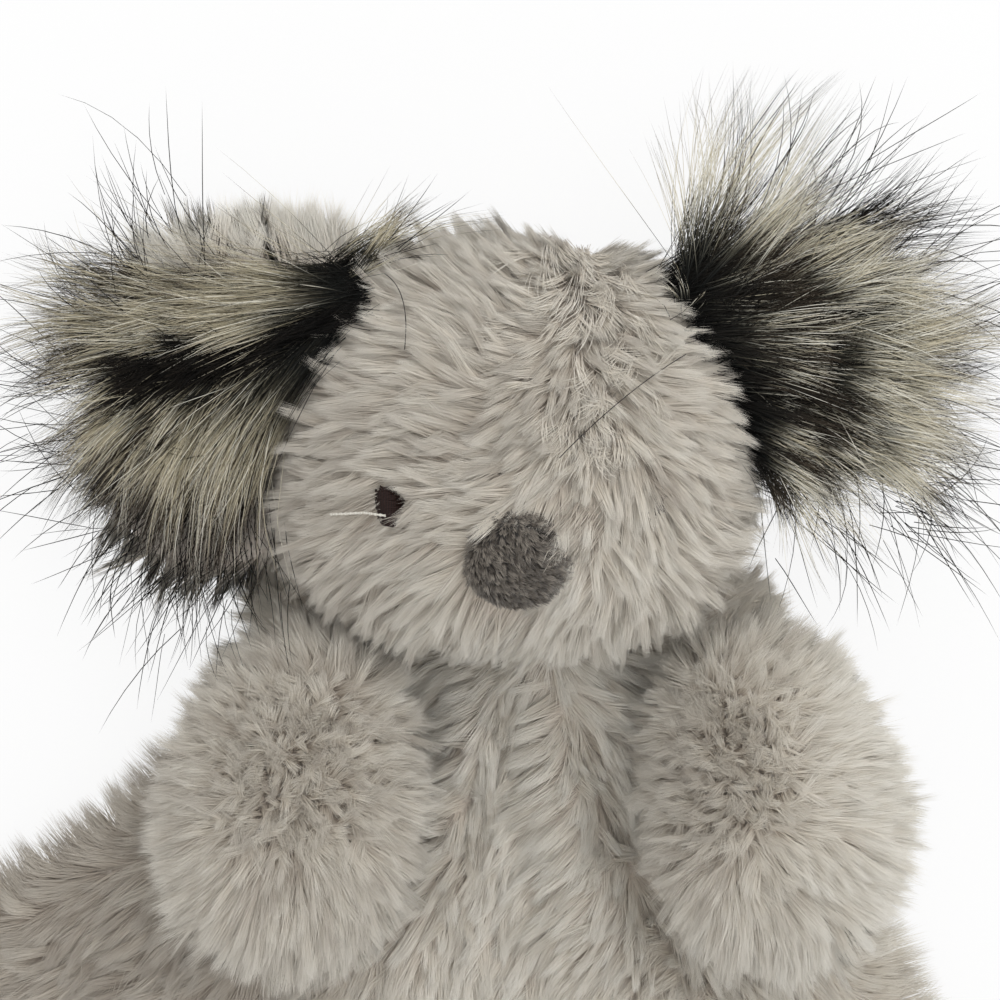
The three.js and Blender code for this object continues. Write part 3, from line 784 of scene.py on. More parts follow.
# the nose pad: a velour dome that stands proud of the face
nose = {"hairs": 13000, "hairWidth": 0.23, "rise": 3.0, "sunk": 0.6, "narrowing": 0.12, "skirt": 6.0,
        "hair": {"steps": 2, "length": 2.6, "uneven": 0.25, "lockUneven": 0.2, "perLock": 10, "lock": 0.62,
                 "swirl": 14, "swirlSize": 6, "lockTurn": 14, "stray": 8, "lean": (34, 70), "lift": 8,
                 "lockLift": 12, "wave": 0.1},
        # the comb of the velour, from the nose's middle
        "nap": [(-5, 6, -64), (-8, 0, -50), (-5, -6, -28), (0, 0, -34), (7, 0, 4), (4, -6, -14), (2, 7, -76)],
        # face pile that lies over its upper edge
        "overHairs": 260, "overPlace": (15.2, 31.2), "overWay": 238}


def buildNose():
    rng = np.random.default_rng(21)
    noseX, noseY, noseWide, noseTall = head["nose"]
    middle, normal = faceSpot(noseX, noseY)
    across = unit(np.cross(np.array([0, 1.0, 0]), normal))
    upward = np.cross(normal, across)
    rows, columns = 16, 56
    dome = [middle + normal * nose["rise"]]
    for row in range(1, rows + 1):
        share = row / rows
        for column in range(columns):
            turn = 2 * math.pi * column / columns
            narrow = 1 - nose["narrowing"] * math.sin(turn)
            outward = across * math.cos(turn) * noseWide * narrow + upward * math.sin(turn) * noseTall
            place = middle + share * 0.97 * outward
            height = nose["rise"] * math.sqrt(max(0, 1 - share ** 2.6)) - nose["sunk"] * share
            spot, _ = faceSpot(place[0], place[1])
            dome.append(place + normal * ((spot - place) @ normal + height - nose["sunk"]))
    rim = [np.array(point) - normal * nose["skirt"] for point in dome[-columns:]]
    dome += rim
    dome.append(middle - normal * (nose["skirt"] - 0.5))
    dome = np.array(dome)
    triangles = domeFaces(rows + 1, columns)
    piece = makePiece("nose_velour_cloth", dome, triangles, noseCloth)
    putOn(piece, "head", "velour", "nose_cover")
    surface = surfaceOf(dome, triangles)
    roots, normals = scatter(surface, nose["hairs"] * 1.7 * thinning, rng)
    upperPart = ((roots - middle) @ normal > -5) & (normals @ normal > -0.4)
    roots, normals = roots[upperPart], normals[upperPart]
    ways = combedWay(roots - np.array([noseX, noseY, 0]), nose["nap"], 4)
    flow = layOn(ways, normals, np.array([[0, -1.0, 0]]))
    paths, lockTone = growHairs(roots, normals, flow, nose["hair"], rng)
    # lighter towards the upper left: painted sheen on the velour
    tones = 0.25 + 0.27 * easeBetween(roots[:, 1] - 0.6 * roots[:, 0], 16, 32)
    tones = tones + 0.03 + 0.34 * lockTone + rng.normal(0, 0.08, len(roots))
    piece = hairMesh("nose_velour_pile", paths, taper(len(roots), 2, nose["hairWidth"]), tones, noseHair, rng)
    putOn(piece, "head", "velour", "nose_cover")
    # face pile over the nose's upper right edge
    count = int(nose["overHairs"] * thinning)
    place = np.array(nose["overPlace"]) + rng.normal(0, 2.1, (count, 2))
    angle = np.radians(nose["overWay"] + rng.normal(0, 9, count))
    way, reach = np.column_stack([np.cos(angle), np.sin(angle)]), rng.uniform(6, 9.5, count)
    tree, path = treeOf(dome, triangles), []
    for share in (0, 0.35, 0.7, 1):
        flat = place + way * (reach * share)[:, None]
        under = np.maximum(heightsUnder(tree, flat), heightsUnder(headTree, flat) - 1.5)
        path.append(np.column_stack([flat, under + (1.6 * share if share < 1 else 0.9)
                                     + rng.uniform(0.4, 1.2, count)]))
    tones = rng.normal(0.22, 0.06, count)
    piece = hairMesh("head_face_right_forelock", np.stack(path, 1), taper(count, 3, 0.2), tones,
                     plushHair, rng)
    putOn(piece, "head", "plush", "head_face_right")
    addFilling("nose_filling", "head", 22)
    print("nose: cover, pile and filling made,", len(roots), "hairs")


buildNose()

# the eyes: satin stitches over a low pad, and the left one's loose thread end
eye = {"wide": 2.6, "tall": 4.2,  # half sizes
       "rowGap": 0.3, "threadRadius": 0.21, "rise": 1.6, "sink": 5.0, "drop": {"left": 0.9, "right": 4.4},
       "shed": [[(-27.4, 84.5), (-21.2, 80), (-22.4, 67)], [(37.5, 66.5), (23.5, 58), (10, 44)]],
       "thread": [(-26.4, 32.0), (-31, 32.6), (-38.8, 32.2)]}  # from the eye to its loose end


def buildEyes():
    for side, seed in (("left", 31), ("right", 32)):
        rng = np.random.default_rng(seed)
        spot, normal = faceSpot(*head["eyes"][side])
        spot = spot - normal * eye["drop"][side]
        across = unit(np.cross(np.array([0, 1.0, 0]), normal))
        upward = np.cross(normal, across)
        wide, tall = eye["wide"], eye["tall"]
        lines, radii = [], []
        for layer in range(2):
            rows = int(2 * tall / eye["rowGap"])
            for row in range(rows):
                level = -tall + 2 * tall * (row + 0.5) / rows
                half = wide * math.sqrt(max(0, 1 - (level / tall) ** 2)) + rng.uniform(-0.4, 0.8)
                slope = 0.2 * (1 if layer else -1) + rng.normal(0, 0.05)
                line = []
                for step in range(9):
                    share = -1 + 2 * step / 8
                    place = across * share * half + upward * (level + slope * share * half)
                    height = (eye["rise"] * (1 - 0.8 * (share * half / wide) ** 2)
                              * (1 - 0.5 * (level / tall) ** 2))
                    line.append(spot + place
                                + normal * (height - 0.4 * layer - 0.6 - 2.2 * max(0, abs(share) - 0.8)))
                lines.append(line)
                radii.append(eye["threadRadius"])
        points, faces = tubeMesh(lines, radii, 5)
        # the pad that the stitches pull down into the pile
        rings, columns = 4, 28
        pad = [spot + normal * (eye["rise"] - 1.1)]
        for row in range(1, rings + 1):
            for column in range(columns):
                turn = 2 * math.pi * column / columns
                share = row / rings
                place = (across * math.cos(turn) * wide * 0.95 * share
                         + upward * math.sin(turn) * tall * 0.95 * share)
                pad.append(spot + place + normal * (eye["rise"] * (1 - 0.8 * share ** 2) - 1.1))
        pad += [point - normal * eye["sink"] for point in pad[-columns:]]
        pad.append(spot - normal * eye["sink"])
        allPoints = np.concatenate([points, np.array(pad)])
        allFaces = np.concatenate([faces, domeFaces(rings + 1, columns) + len(points)])
        piece = makePiece(f"eye_{side}_embroidery", allPoints, allFaces, eyeThread)
        putOn(piece, "head", "eye_thread", f"eye_{side}")
        if side == "left":
            line = []
            for number, (x, y) in enumerate(evenly(eye["thread"], 25)):
                place, _ = faceSpot(x, y)
                line.append(place + np.array([0, 0, 1.9 + 0.25 * math.sin(number * 0.4)]))
            line = np.array(line)
            plies = []
            for ply in range(2):
                turn = np.arange(len(line)) * 1.5 + ply * math.pi
                plies.append(line + 0.16 * np.column_stack([np.zeros(len(line)), np.cos(turn), np.sin(turn)]))
            points, faces = tubeMesh(plies, [0.18, 0.18], 5)
            piece = makePiece("eye_left_loose_thread", points, faces, paleThread)
            putOn(piece, "head", "eye_thread")
    # hairs shed by the ears lie on the face
    share = np.linspace(0, 1, 24)[:, None]
    routes = [a * (1 - share) ** 2 + 2 * b * share * (1 - share) + c * share ** 2
              for a, b, c in np.array(eye["shed"])]
    lines = [[faceSpot(x, y)[0] + np.array([0, 0, 2.2]) for x, y in route] for route in routes]
    points, faces = tubeMesh(lines, [0.11] * len(lines), 5)
    putOn(makePiece("face_shed_hairs", points, faces, strayThread), "head", "ear_fur")
    print("eyes: stitched, with the left one's loose thread")


buildEyes()

# the arms: fat stubby cushions in plush
arms = {
    "left": {"topHairs": 54000, "underHairs": 9000, "seed": 41, "mussed": (-46, -24, 25, 22),
             "nap": [(-47, 2, 165), (-36, 0, 145), (-56, -7, 162), (-42, -9, 125), (-73, -20, 152),
                     (-76, -29, 185), (-73, -38, 214), (-67, -47, 234), (-62, -23, 176), (-45, -20, 55),
                     (-32, -26, 15), (-34, -33, -20), (-39, -39, -52), (-27, -14, -60), (-26, -23, -70),
                     (-56, -54, -112), (-45, -58, -96), (-37, -54, -80), (-49, -43, -102)],
             "tone": [(-50, -5, 0.34), (-70, -30, 0.36), (-50, -35, 0.34), (-50, -62, 0.44),
                      (-30, -35, 0.38)]},
    "right": {"topHairs": 54000, "underHairs": 9000, "seed": 42, "mussed": (45, -23, 21, 26),
              "nap": [(40, 3, 20), (51, 4, 12), (62, 1, 10), (31, 0, 145), (29, -7, 170), (62, -7, 28),
                      (74, -9, 22), (60, -18, 12), (78, -25, 0), (65, -29, -8), (74, -41, -25),
                      (60, -41, -35), (65, -54, -42), (51, -54, -65), (54, -63, -70), (40, -45, -112),
                      (40, -54, -110), (29, -23, 190), (31, -34, 215)],
              # its tone: x, y, from 0 for dark to 1 for light, with painted light: lighter towards the arm's
              # outer right side, where the light falls
              "tone": [(50, 0, 0.44), (90, -30, 1.0), (80, -20, 0.9), (82, -50, 0.9), (66, -30, 0.6),
                       (48, -25, 0.3), (60, -60, 0.55), (40, -35, 0.32)]},
    "clothOut": 2.2,
    "clothThick": 1.1,
    "hair": {"steps": 1, "length": 11.5, "uneven": 0.22, "lockUneven": 0.2, "perLock": 30, "lock": 0.7,
             "swirl": 13, "swirlSize": 18, "lockTurn": 13, "stray": 9, "lean": (34, 76), "lift": 7,
             "lockLift": 12, "wave": 0.08, "muss": 100},
    "hairWidth": 0.24,
    "underHairWidth": 0.58,
}


def buildArm(side):
    mine = arms[side]
    rng = np.random.default_rng(mine["seed"])
    skin = wrapForm([f"arm_{side}_filling"], 40, 72, 3)
    cloth, rootSkin = grown(skin, arms["clothOut"]), grown(skin, arms["clothOut"] + arms["clothThick"])
    low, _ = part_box(f"arm_{side}_top_panel")
    seam = low[2] / mm
    for part, up in (("top", 1), ("under", -1)):
        piece = cutPanel(f"arm_{side}_{part}_cloth", cloth, [((0, 0, seam + up * seamGap), (0, 0, up))],
                         arms["clothThick"], plushCloth)
        putOn(piece, f"arm_{side}", "plush", f"arm_{side}_{part}_panel")
    roots, normals = scatter(rootSkin, (mine["topHairs"] + mine["underHairs"]) * 2 * thinning, rng)
    top = roots[:, 2] > seam
    keep = keepSome(top, mine["topHairs"], mine["underHairs"], rng)
    roots, normals, top = roots[keep], normals[keep], top[keep]
    ways = combedWay(roots, mine["nap"], 8)
    x, y, wide, tall = mine["mussed"]
    gap = np.hypot((roots[:, 0] - x) / wide, (roots[:, 1] - y) / tall)
    stand = (1 - easeBetween(gap, 0.55, 1.15)) * (normals[:, 2] > 0.3)
    ways[:, 2] = -0.5
    flow = layOn(ways, normals, np.array([[0, -1.0, -0.2]]))
    paw = easeBetween(-roots[:, 1], 46, 62)  # longer tufts at the paw's end
    hair = arms["hair"]
    settings = dict(hair, length=hair["length"] * (1 + 0.35 * paw), lock=hair["lock"] + 0.15 * paw)
    paths, lockTone = growHairs(roots, normals, flow, settings, rng, stand)
    # the pile's tone, with painted light on the right arm's outer side
    tones = readTable(roots, mine["tone"], 9)[:, 0] + 0.13 * lockTone + rng.normal(0, 0.03, len(roots))
    for part, half in (("top", True), ("under", False)):
        some = top == half
        width = arms["hairWidth" if half else "underHairWidth"]
        for piece in hairPieces(f"arm_{side}_{part}_pile", paths[some], width, tones[some], plushHair, rng,
                                roots[some][:, 1], normals[some]):
            putOn(piece, f"arm_{side}", "plush", f"arm_{side}_{part}_panel")
    addFilling(f"arm_{side}_filling", f"arm_{side}", mine["seed"] + 50)
    print(side, "arm: panels, pile and filling made")


buildArm("left")
buildArm("right")

# the ears: a plush back and a long-haired front, each ear in its own frame
ears = {
    # streams of fur: the line that the roots lie along, the angle seen from above and the length at its
    # points, locks, hairs in a lock, share of dark locks (2 is black hair), scatter of the roots, rise,
    # spread of the angles, curl
    "left": {"seed": 51, "cream": (0.58, 0.94), "backIn": -7,
             # back plush that stands up past the top edge
             "crest": {"line": [(-80, 83), (-70, 86), (-60, 87.5), (-50, 89), (-40, 88)], "heights": (25, 34),
                       "angles": [125, 108, 98, 92, 84], "hairs": 11000, "length": 15, "tone": 0.99,
                       "perLock": 45, "lock": 0.6}, "streams": [
        ([(-38, 73), (-43, 70), (-50, 68), (-58, 66), (-68, 63.5), (-78, 61.5)],
         [238, 238, 235, 229, 221, 211], [45, 47, 47, 45, 42, 37], 110, 28, 0.14, 2, 7, 6, 17),
        ([(-36, 85), (-37, 78), (-44, 70), (-50, 60), (-53, 50)], [185, 196, 214, 228, 240],
         [10, 11, 11, 10, 9], 120, 12, 2, 1.6, 3, 12, 0),
        ([(-35, 85), (-35.5, 82), (-36.5, 78.5)], [188, 189, 191], [47, 47, 45], 50, 26, 0.06, 1.4, 5, 5, 0),
        ([(-49, 82), (-50, 79.5), (-52, 77)], [182, 185, 189], [43, 43, 41], 44, 26, 0.08, 2.2, 7, 6, 0),
        ([(-64, 80), (-66, 77), (-68, 73)], [177, 183, 191], [41, 41, 37], 38, 23, 0.12, 2.2, 7, 8, 0),
        ([(-77, 81), (-80, 75.5), (-83, 67)], [170, 184, 202], [33, 35, 31], 26, 16, 0.2, 3.5, 7, 11, 0),
        ([(-37, 76), (-49, 72.5), (-62, 69), (-76, 66), (-84, 64.5)], [198, 198, 200, 202, 204],
         [14, 17, 18, 18, 16], 160, 18, 2, 2.1, 7.8, 9, 0),
        ([(-40, 86), (-35, 88)], [34, 27], [24, 27], 8, 12, 0.2, 2.2, 5, 7, 0),
        ([(-88, 44), (-79, 41), (-69, 40), (-60, 41)], [232, 244, 258, 268], [16, 18, 19, 17],
         32, 12, 1, 3, 6, 11, 4),
        ([(-93, 80), (-85, 88), (-74, 88)], [145, 125, 105], [28, 32, 26], 60, 1, 2, 8, 9, 20, 0),
        ([(-100, 71), (-104, 58), (-103, 47), (-98, 38)], [160, 178, 195, 210], [19, 19, 20, 21],
         70, 1, 2, 6, 5, 26, 0),
        ([(-89, 35), (-80, 30), (-69, 28), (-59, 31)], [225, 245, 262, 275], [20, 24, 26, 22],
         140, 1, 2, 7, 5, 20, 0),
        ([(-83, 22), (-72, 17), (-61, 22)], [240, 262, 280], [22, 24, 20], 34, 1, 2, 9, 5, 24, 0),
        ([(-92, 84), (-98, 76), (-99, 64)], [150, 168, 184], [24, 26, 24], 14, 7, 0, 3, 6, 14, 0),
        ([(-32, 89.5), (-33, 88)], [18, 30], [24, 22], 16, 1, 2, 2, 4, 14, 0)]},
    "right": {"seed": 52, "cream": (0.76, 0.99), "backIn": 8, "streams": [
        ([(37, 86), (39.5, 81), (44.5, 73.5), (51, 64), (55.5, 53), (57, 46)], [26, 16, 6, -6, -20, -36],
         [30, 36, 38, 36, 28, 20], 110, 24, 0.62, 1.8, 5, 8, 0),
        ([(38, 83), (46, 75), (53, 65), (57, 52)], [14, 6, -4, -20], [18, 22, 20, 16],
         44, 16, 2, 2.4, 5, 10, 0),
        ([(38, 86), (41, 80), (48, 68), (55, 54), (57, 46)], [40, 26, 6, -16, -34], [11, 12, 12, 11, 9],
         120, 12, 2, 1.6, 3, 12, 0),
        ([(63, 84), (66, 78), (69, 69), (71, 59), (69, 51)], [18, 8, 1, -8, -20], [42, 46, 46, 41, 33],
         72, 24, 0.04, 3.5, 8, 10, 0),
        ([(50, 84), (54, 78), (58, 69), (61, 58)], [24, 10, 0, -14], [38, 40, 38, 34],
         56, 20, 0.5, 3, 7, 8, 0),
        ([(37.5, 85), (39.5, 82), (43, 79), (48, 77)], [80, 70, 58, 45], [43, 48, 48, 46],
         20, 14, 0.08, 1.8, 8, 9, -6),
        ([(46, 84), (56, 84)], [50, 36], [34, 36], 10, 14, 0.1, 2.5, 8, 9, -4),
        ([(73, 95), (70, 92)], [27, 25], [40, 38], 7, 16, 2, 1.2, 6, 2, 0),
        ([(64, 90), (67, 87)], [25, 20], [24, 24], 12, 14, 0, 2.5, 7, 5, 0),
        ([(63.5, 61), (70, 56.5)], [-12, -20], [20, 20], 24, 14, 1, 3.5, 9, 10, 0),
        ([(70, 53), (75, 48)], [-10, -18], [26, 24], 18, 14, 0, 3, 8, 6, 0),
        ([(56.5, 48), (57.5, 41)], [-36, -54], [36, 32], 10, 8, 0.0, 2.2, 6, 12, 4),
        ([(38, 80), (42, 75)], [70, -55], [15, 17], 6, 5, 0, 2, 4, 30, 60),
        ([(88, 46), (94, 40)], [-25, -35], [22, 22], 120, 1, 2, 7, 5, 20, 0),
        ([(58, 102), (82, 100), (98, 84), (102, 66), (98, 49)], [66, 34, 12, -4, -20], [30, 34, 28, 22, 22],
         84, 1, 2, 7, 6, 18, 0),
        ([(63, 38), (74, 35), (87, 35)], [-75, -70, -55], [24, 28, 28], 40, 1, 2, 7, 5, 20, 0),
        ([(50, 105), (59, 103), (69, 99)], [70, 62, 50], [26, 32, 30], 14, 1, 2, 6, 16, 8, 0)]},
    "backHairs": 8500,
    "fullness": 1.6,      # more hairs in every lock
    "underHairs": 3600,
    "guardWidth": 0.14,
    "underWidth": 0.27,
    "backWidth": 0.5,
    "under": {"steps": 3, "length": 12, "uneven": 0.3, "lockUneven": 0.2, "perLock": 12, "lock": 0.5,
              "swirl": 20, "swirlSize": 22, "lockTurn": 16, "stray": 9, "lean": (30, 76), "lift": 8,
              "lockLift": 8, "wave": 0.07},
    "seamBend": (-10, 12),  # where the real ear bends: between these, out from the fold line
    "highest": 135,       # no hair reaches past this, towards the crown
}


def earFrame(side):
    joint = next(j for j in frame["joints"] if j["name"] == f"ear_{side}_fold")
    origin = np.array(joint["pos_m"]) / mm
    axis = np.array(joint["axis"])
    across = crossOf(*nodeMesh(f"ear_{side}_fur_panel"))
    flat = unit(across)[:, 2] < -0.85  # the panel's flat underside
    up = -unit(across[flat].sum(0))
    out = np.array([-axis[1], axis[0], 0])
    out = unit(out - (out @ up) * up)
    along = np.cross(up, out)
    along = along * np.sign(along[1])
    return origin, out, along, up


tuftHairWidth = 0.32


# a tuft of plush that stands out from a line of roots
def plushTuft(name, tuft, rng):
    line, count = np.array(tuft["line"], float), int(tuft["hairs"] * thinning)
    spot = rng.uniform(0, len(line) - 1, count)
    roots = placesOn(line, spot) + rng.normal(0, 2.2, (count, 2))
    roots = np.column_stack([roots, rng.uniform(*tuft["heights"], count)])
    angle = np.radians(np.interp(spot, np.arange(len(line)), tuft["angles"]))
    flow = np.column_stack([np.cos(angle), np.sin(angle), np.zeros(count)])
    settings = dict(head["hair"], length=tuft["length"], lean=(70, 88), perLock=tuft["perLock"],
                    lock=tuft["lock"])
    normals = np.broadcast_to(np.array([0, 0, 1.0]), roots.shape)
    paths, lockTone = growHairs(roots, normals, flow, settings, rng)
    tones = tuft["tone"] + 0.05 * lockTone + rng.normal(0, 0.03, count)
    return hairMesh(name, paths, taper(count, 1, tuftHairWidth), tones, plushHair, rng, normals)


def intoEar(points, place):
    origin, out, along, up = place
    moved = points - origin
    return np.column_stack([moved @ out, moved @ along, moved @ up])


def fromEar(points, place):
    origin, out, along, up = place
    return origin + points[:, :1] * out + points[:, 1:2] * along + points[:, 2:] * up


# a CAD ear panel taken in at its outline and pressed flatter, rounded off
def thinPanel(node, place, baseIn, outerIn, sideIn, press, lift):
    work = editable(*nodeMesh(node))
    bmesh.ops.subdivide_edges(work, edges=[e for e in work.edges if e.calc_length() > 5], cuts=1)
    bmesh.ops.triangulate(work, faces=work.faces[:])
    for _ in range(3):
        bmesh.ops.smooth_vert(work, verts=work.verts[:], factor=0.4,
                              use_axis_x=True, use_axis_y=True, use_axis_z=True)
    points, faces = readBack(work)
    local = intoEar(points, place)
    low, high = local.min(0), local.max(0)
    local[:, 0] = np.interp(local[:, 0], [low[0], high[0]], [low[0] + baseIn, high[0] - outerIn])
    local[:, 1] = np.interp(local[:, 1], [low[1], high[1]], [low[1] + sideIn, high[1] - sideIn])
    local[:, 2] = lift + (local[:, 2] - local[:, 2].min()) * press
    return fromEar(local, place), faces


# the ear's cloth and hair are left where they are, on no body, when the ear folds; the CAD panel is hidden
def bendAtSeam(piece, side, part):
    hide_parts(f"ear_{side}_{part}_panel")
    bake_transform(piece)


# one stream of ear fur: locks along a line of roots, drawn together and frayed towards their tips
def growStream(stream, cream, cloth, place, rng):
    line, angles, lengths, locks, hairs, dark, scatterBy, rise, spread, curl = stream
    hairs = hairs if hairs == 1 else round(hairs * ears["fullness"])
    origin, _, _, up = place
    locks, steps = max(2, round(locks * thinning)), 5
    line = np.array(line, float)
    spot, corners = rng.uniform(0, len(line) - 1, locks), np.arange(len(line))
    middle = placesOn(line, spot) + rng.normal(0, scatterBy, (locks, 2))
    angle = np.interp(spot, corners, angles) + rng.normal(0, spread, locks)
    length = np.interp(spot, corners, lengths) * rng.uniform(0.64, 1.18, locks)
    bend, lift = rng.normal(curl, 12, locks), rise * rng.uniform(0.5, 1.4, locks)
    isDark = rng.random(locks) < dark
    lock = np.repeat(np.arange(locks), hairs)
    first, count = np.arange(locks) * hairs, len(lock)
    shade = (0.02, 0.14) if dark > 1 else (0.17, 0.4)
    tone = np.where(isDark[lock], rng.uniform(*shade, count), rng.uniform(*cream, count))
    free = rng.random(count) < 0.12  # hairs that leave their lock
    free[first] = False
    heading = np.radians(angle[lock] + rng.normal(0, 4, count) + free * rng.normal(0, 16, count))
    turn = np.radians(bend[lock] + rng.normal(0, 8, count))
    size = length[lock] * (1 + rng.normal(0, 0.12, count))
    path = [middle[lock] + rng.normal(0, 1.5 if hairs > 1 else 0.1, (count, 2))]
    for step in range(steps):
        way = heading + turn * (step + 0.5) / steps
        path.append(path[-1] + (size / steps)[:, None] * np.column_stack([np.cos(way), np.sin(way)]))
    flat, share = np.stack(path, 1), np.linspace(0, 1, steps + 1)
    draw = np.where(free, 0, rng.uniform(0.45, 0.9, count))[:, None] * share ** 1.3
    flat += draw[:, :, None] * (flat[first][lock] - flat)
    flat += rng.normal(0, 1.1, (count, 1, 2)) * share[None, :, None] ** 2.4
    start, top = flat[:, :1].copy(), flat[:, :, 1].max(1)
    room = (ears["highest"] - start[:, 0, 1]) / np.maximum(top - start[:, 0, 1], 1e-6)
    flat = start + (flat - start) * np.clip(room, 0, 1)[:, None, None]
    # from the ear's cloth or the edge of the face, over a bow, down to the ear's own plane
    sheet = origin[2] - ((flat - origin[:2]) @ up[:2]) / up[2]
    face = heightsUnder(headTree, flat.reshape(-1, 2)).reshape(count, -1)
    foot = np.maximum(np.maximum(heightsUnder(cloth, flat[:, 0]), sheet[:, 0] + 2), face[:, 0] - 1.5)
    tip = sheet[:, -1] + rng.uniform(3, 12, count)
    height = (foot[:, None] * (1 - share) + tip[:, None] * share
              + lift[lock][:, None] * np.sin(math.pi * share ** 0.75))
    height += rng.normal(0, 1.2, (count, 1)) * share
    height[:, 1:] = np.maximum(height[:, 1:], face[:, 1:] + 1.8)
    across = (face[:, 4:] > -400).any(1) & (flat[:, -1, 1] < 70)  # these would lie over the cheek
    widths = ears["guardWidth"] * rng.uniform(0.75, 1.2, count) * (1.5 if hairs == 1 else 1)
    return np.dstack([flat, height])[~across], tone[~across], widths[~across]


def buildEar(side):
    mine = ears[side]
    rng = np.random.default_rng(mine["seed"])
    place = earFrame(side)
    _, out, along, up = place
    furPoints, furFaces = thinPanel(f"ear_{side}_fur_panel", place, -6, 30, 16, 0.3, 0.4)
    piece = makePiece(f"ear_{side}_fur_cloth", furPoints, furFaces, earCloth)
    bendAtSeam(piece, side, "fur")
    backPoints, backFaces = thinPanel(f"ear_{side}_back_panel", place, -6, 12, mine["backIn"], 0.6, -3.9)
    piece = makePiece(f"ear_{side}_back_cloth", backPoints, backFaces, plushCloth)
    bendAtSeam(piece, side, "back")
    # plush on the back, combed outwards
    roots, normals = scatter(surfaceOf(backPoints, backFaces), ears["backHairs"] * 2 * thinning, rng)
    below = normals @ up < 0.25
    roots, normals = roots[below], normals[below]
    local = intoEar(roots, place)
    ways = out * 1.0 + along * (local[:, 1:2] / 24) + up * 0.25
    flow = layOn(ways, normals, out[None])
    settings = dict(head["hair"], length=14, lean=(45, 74), perLock=14)
    paths, lockTone = growHairs(roots, normals, flow, settings, rng)
    tones = 0.5 + 0.08 * lockTone + rng.normal(0, 0.07, len(roots))
    piece = hairMesh(f"ear_{side}_back_pile", paths, taper(len(roots), 1, ears["backWidth"]), tones,
                     plushHair, rng, normals)
    bendAtSeam(piece, side, "back")
    if "crest" in mine:
        piece = plushTuft(f"ear_{side}_back_crest", mine["crest"], rng)
        bendAtSeam(piece, side, "back")
    # short dark undercoat on the front, near the seam
    roots, normals = scatter(surfaceOf(furPoints, furFaces), ears["underHairs"] * 2 * thinning, rng)
    local = intoEar(roots, place)
    some = (normals @ up > 0.05) & (local[:, 0] < 30)
    roots, normals, local = roots[some], normals[some], local[some]
    flow = layOn(np.broadcast_to(out, roots.shape), np.broadcast_to(up, roots.shape), out[None])
    paths, lockTone = growHairs(roots, unit(up + 0.25 * normals), flow, ears["under"], rng)
    tones = 0.5 + 0.14 * lockTone + rng.normal(0, 0.12, len(roots))
    for piece in hairPieces(f"ear_{side}_undercoat", paths, ears["underWidth"], tones, earUnder, rng,
                            local[:, 1]):
        bendAtSeam(piece, side, "fur")
    # long hair, stream by stream
    cloth = treeOf(furPoints, furFaces)
    grownStreams = [growStream(stream, mine["cream"], cloth, place, rng) for stream in mine["streams"]]
    paths, tones, widths = (np.concatenate(part) for part in zip(*grownStreams))
    for piece in hairPieces(f"ear_{side}_guard_hair", paths, widths, tones, earHair, rng, paths[:, 0, 1]):
        bendAtSeam(piece, side, "fur")
    print(side, "ear: back, undercoat and long hair made,", len(paths), "long hairs")


buildEar("left")
buildEar("right")

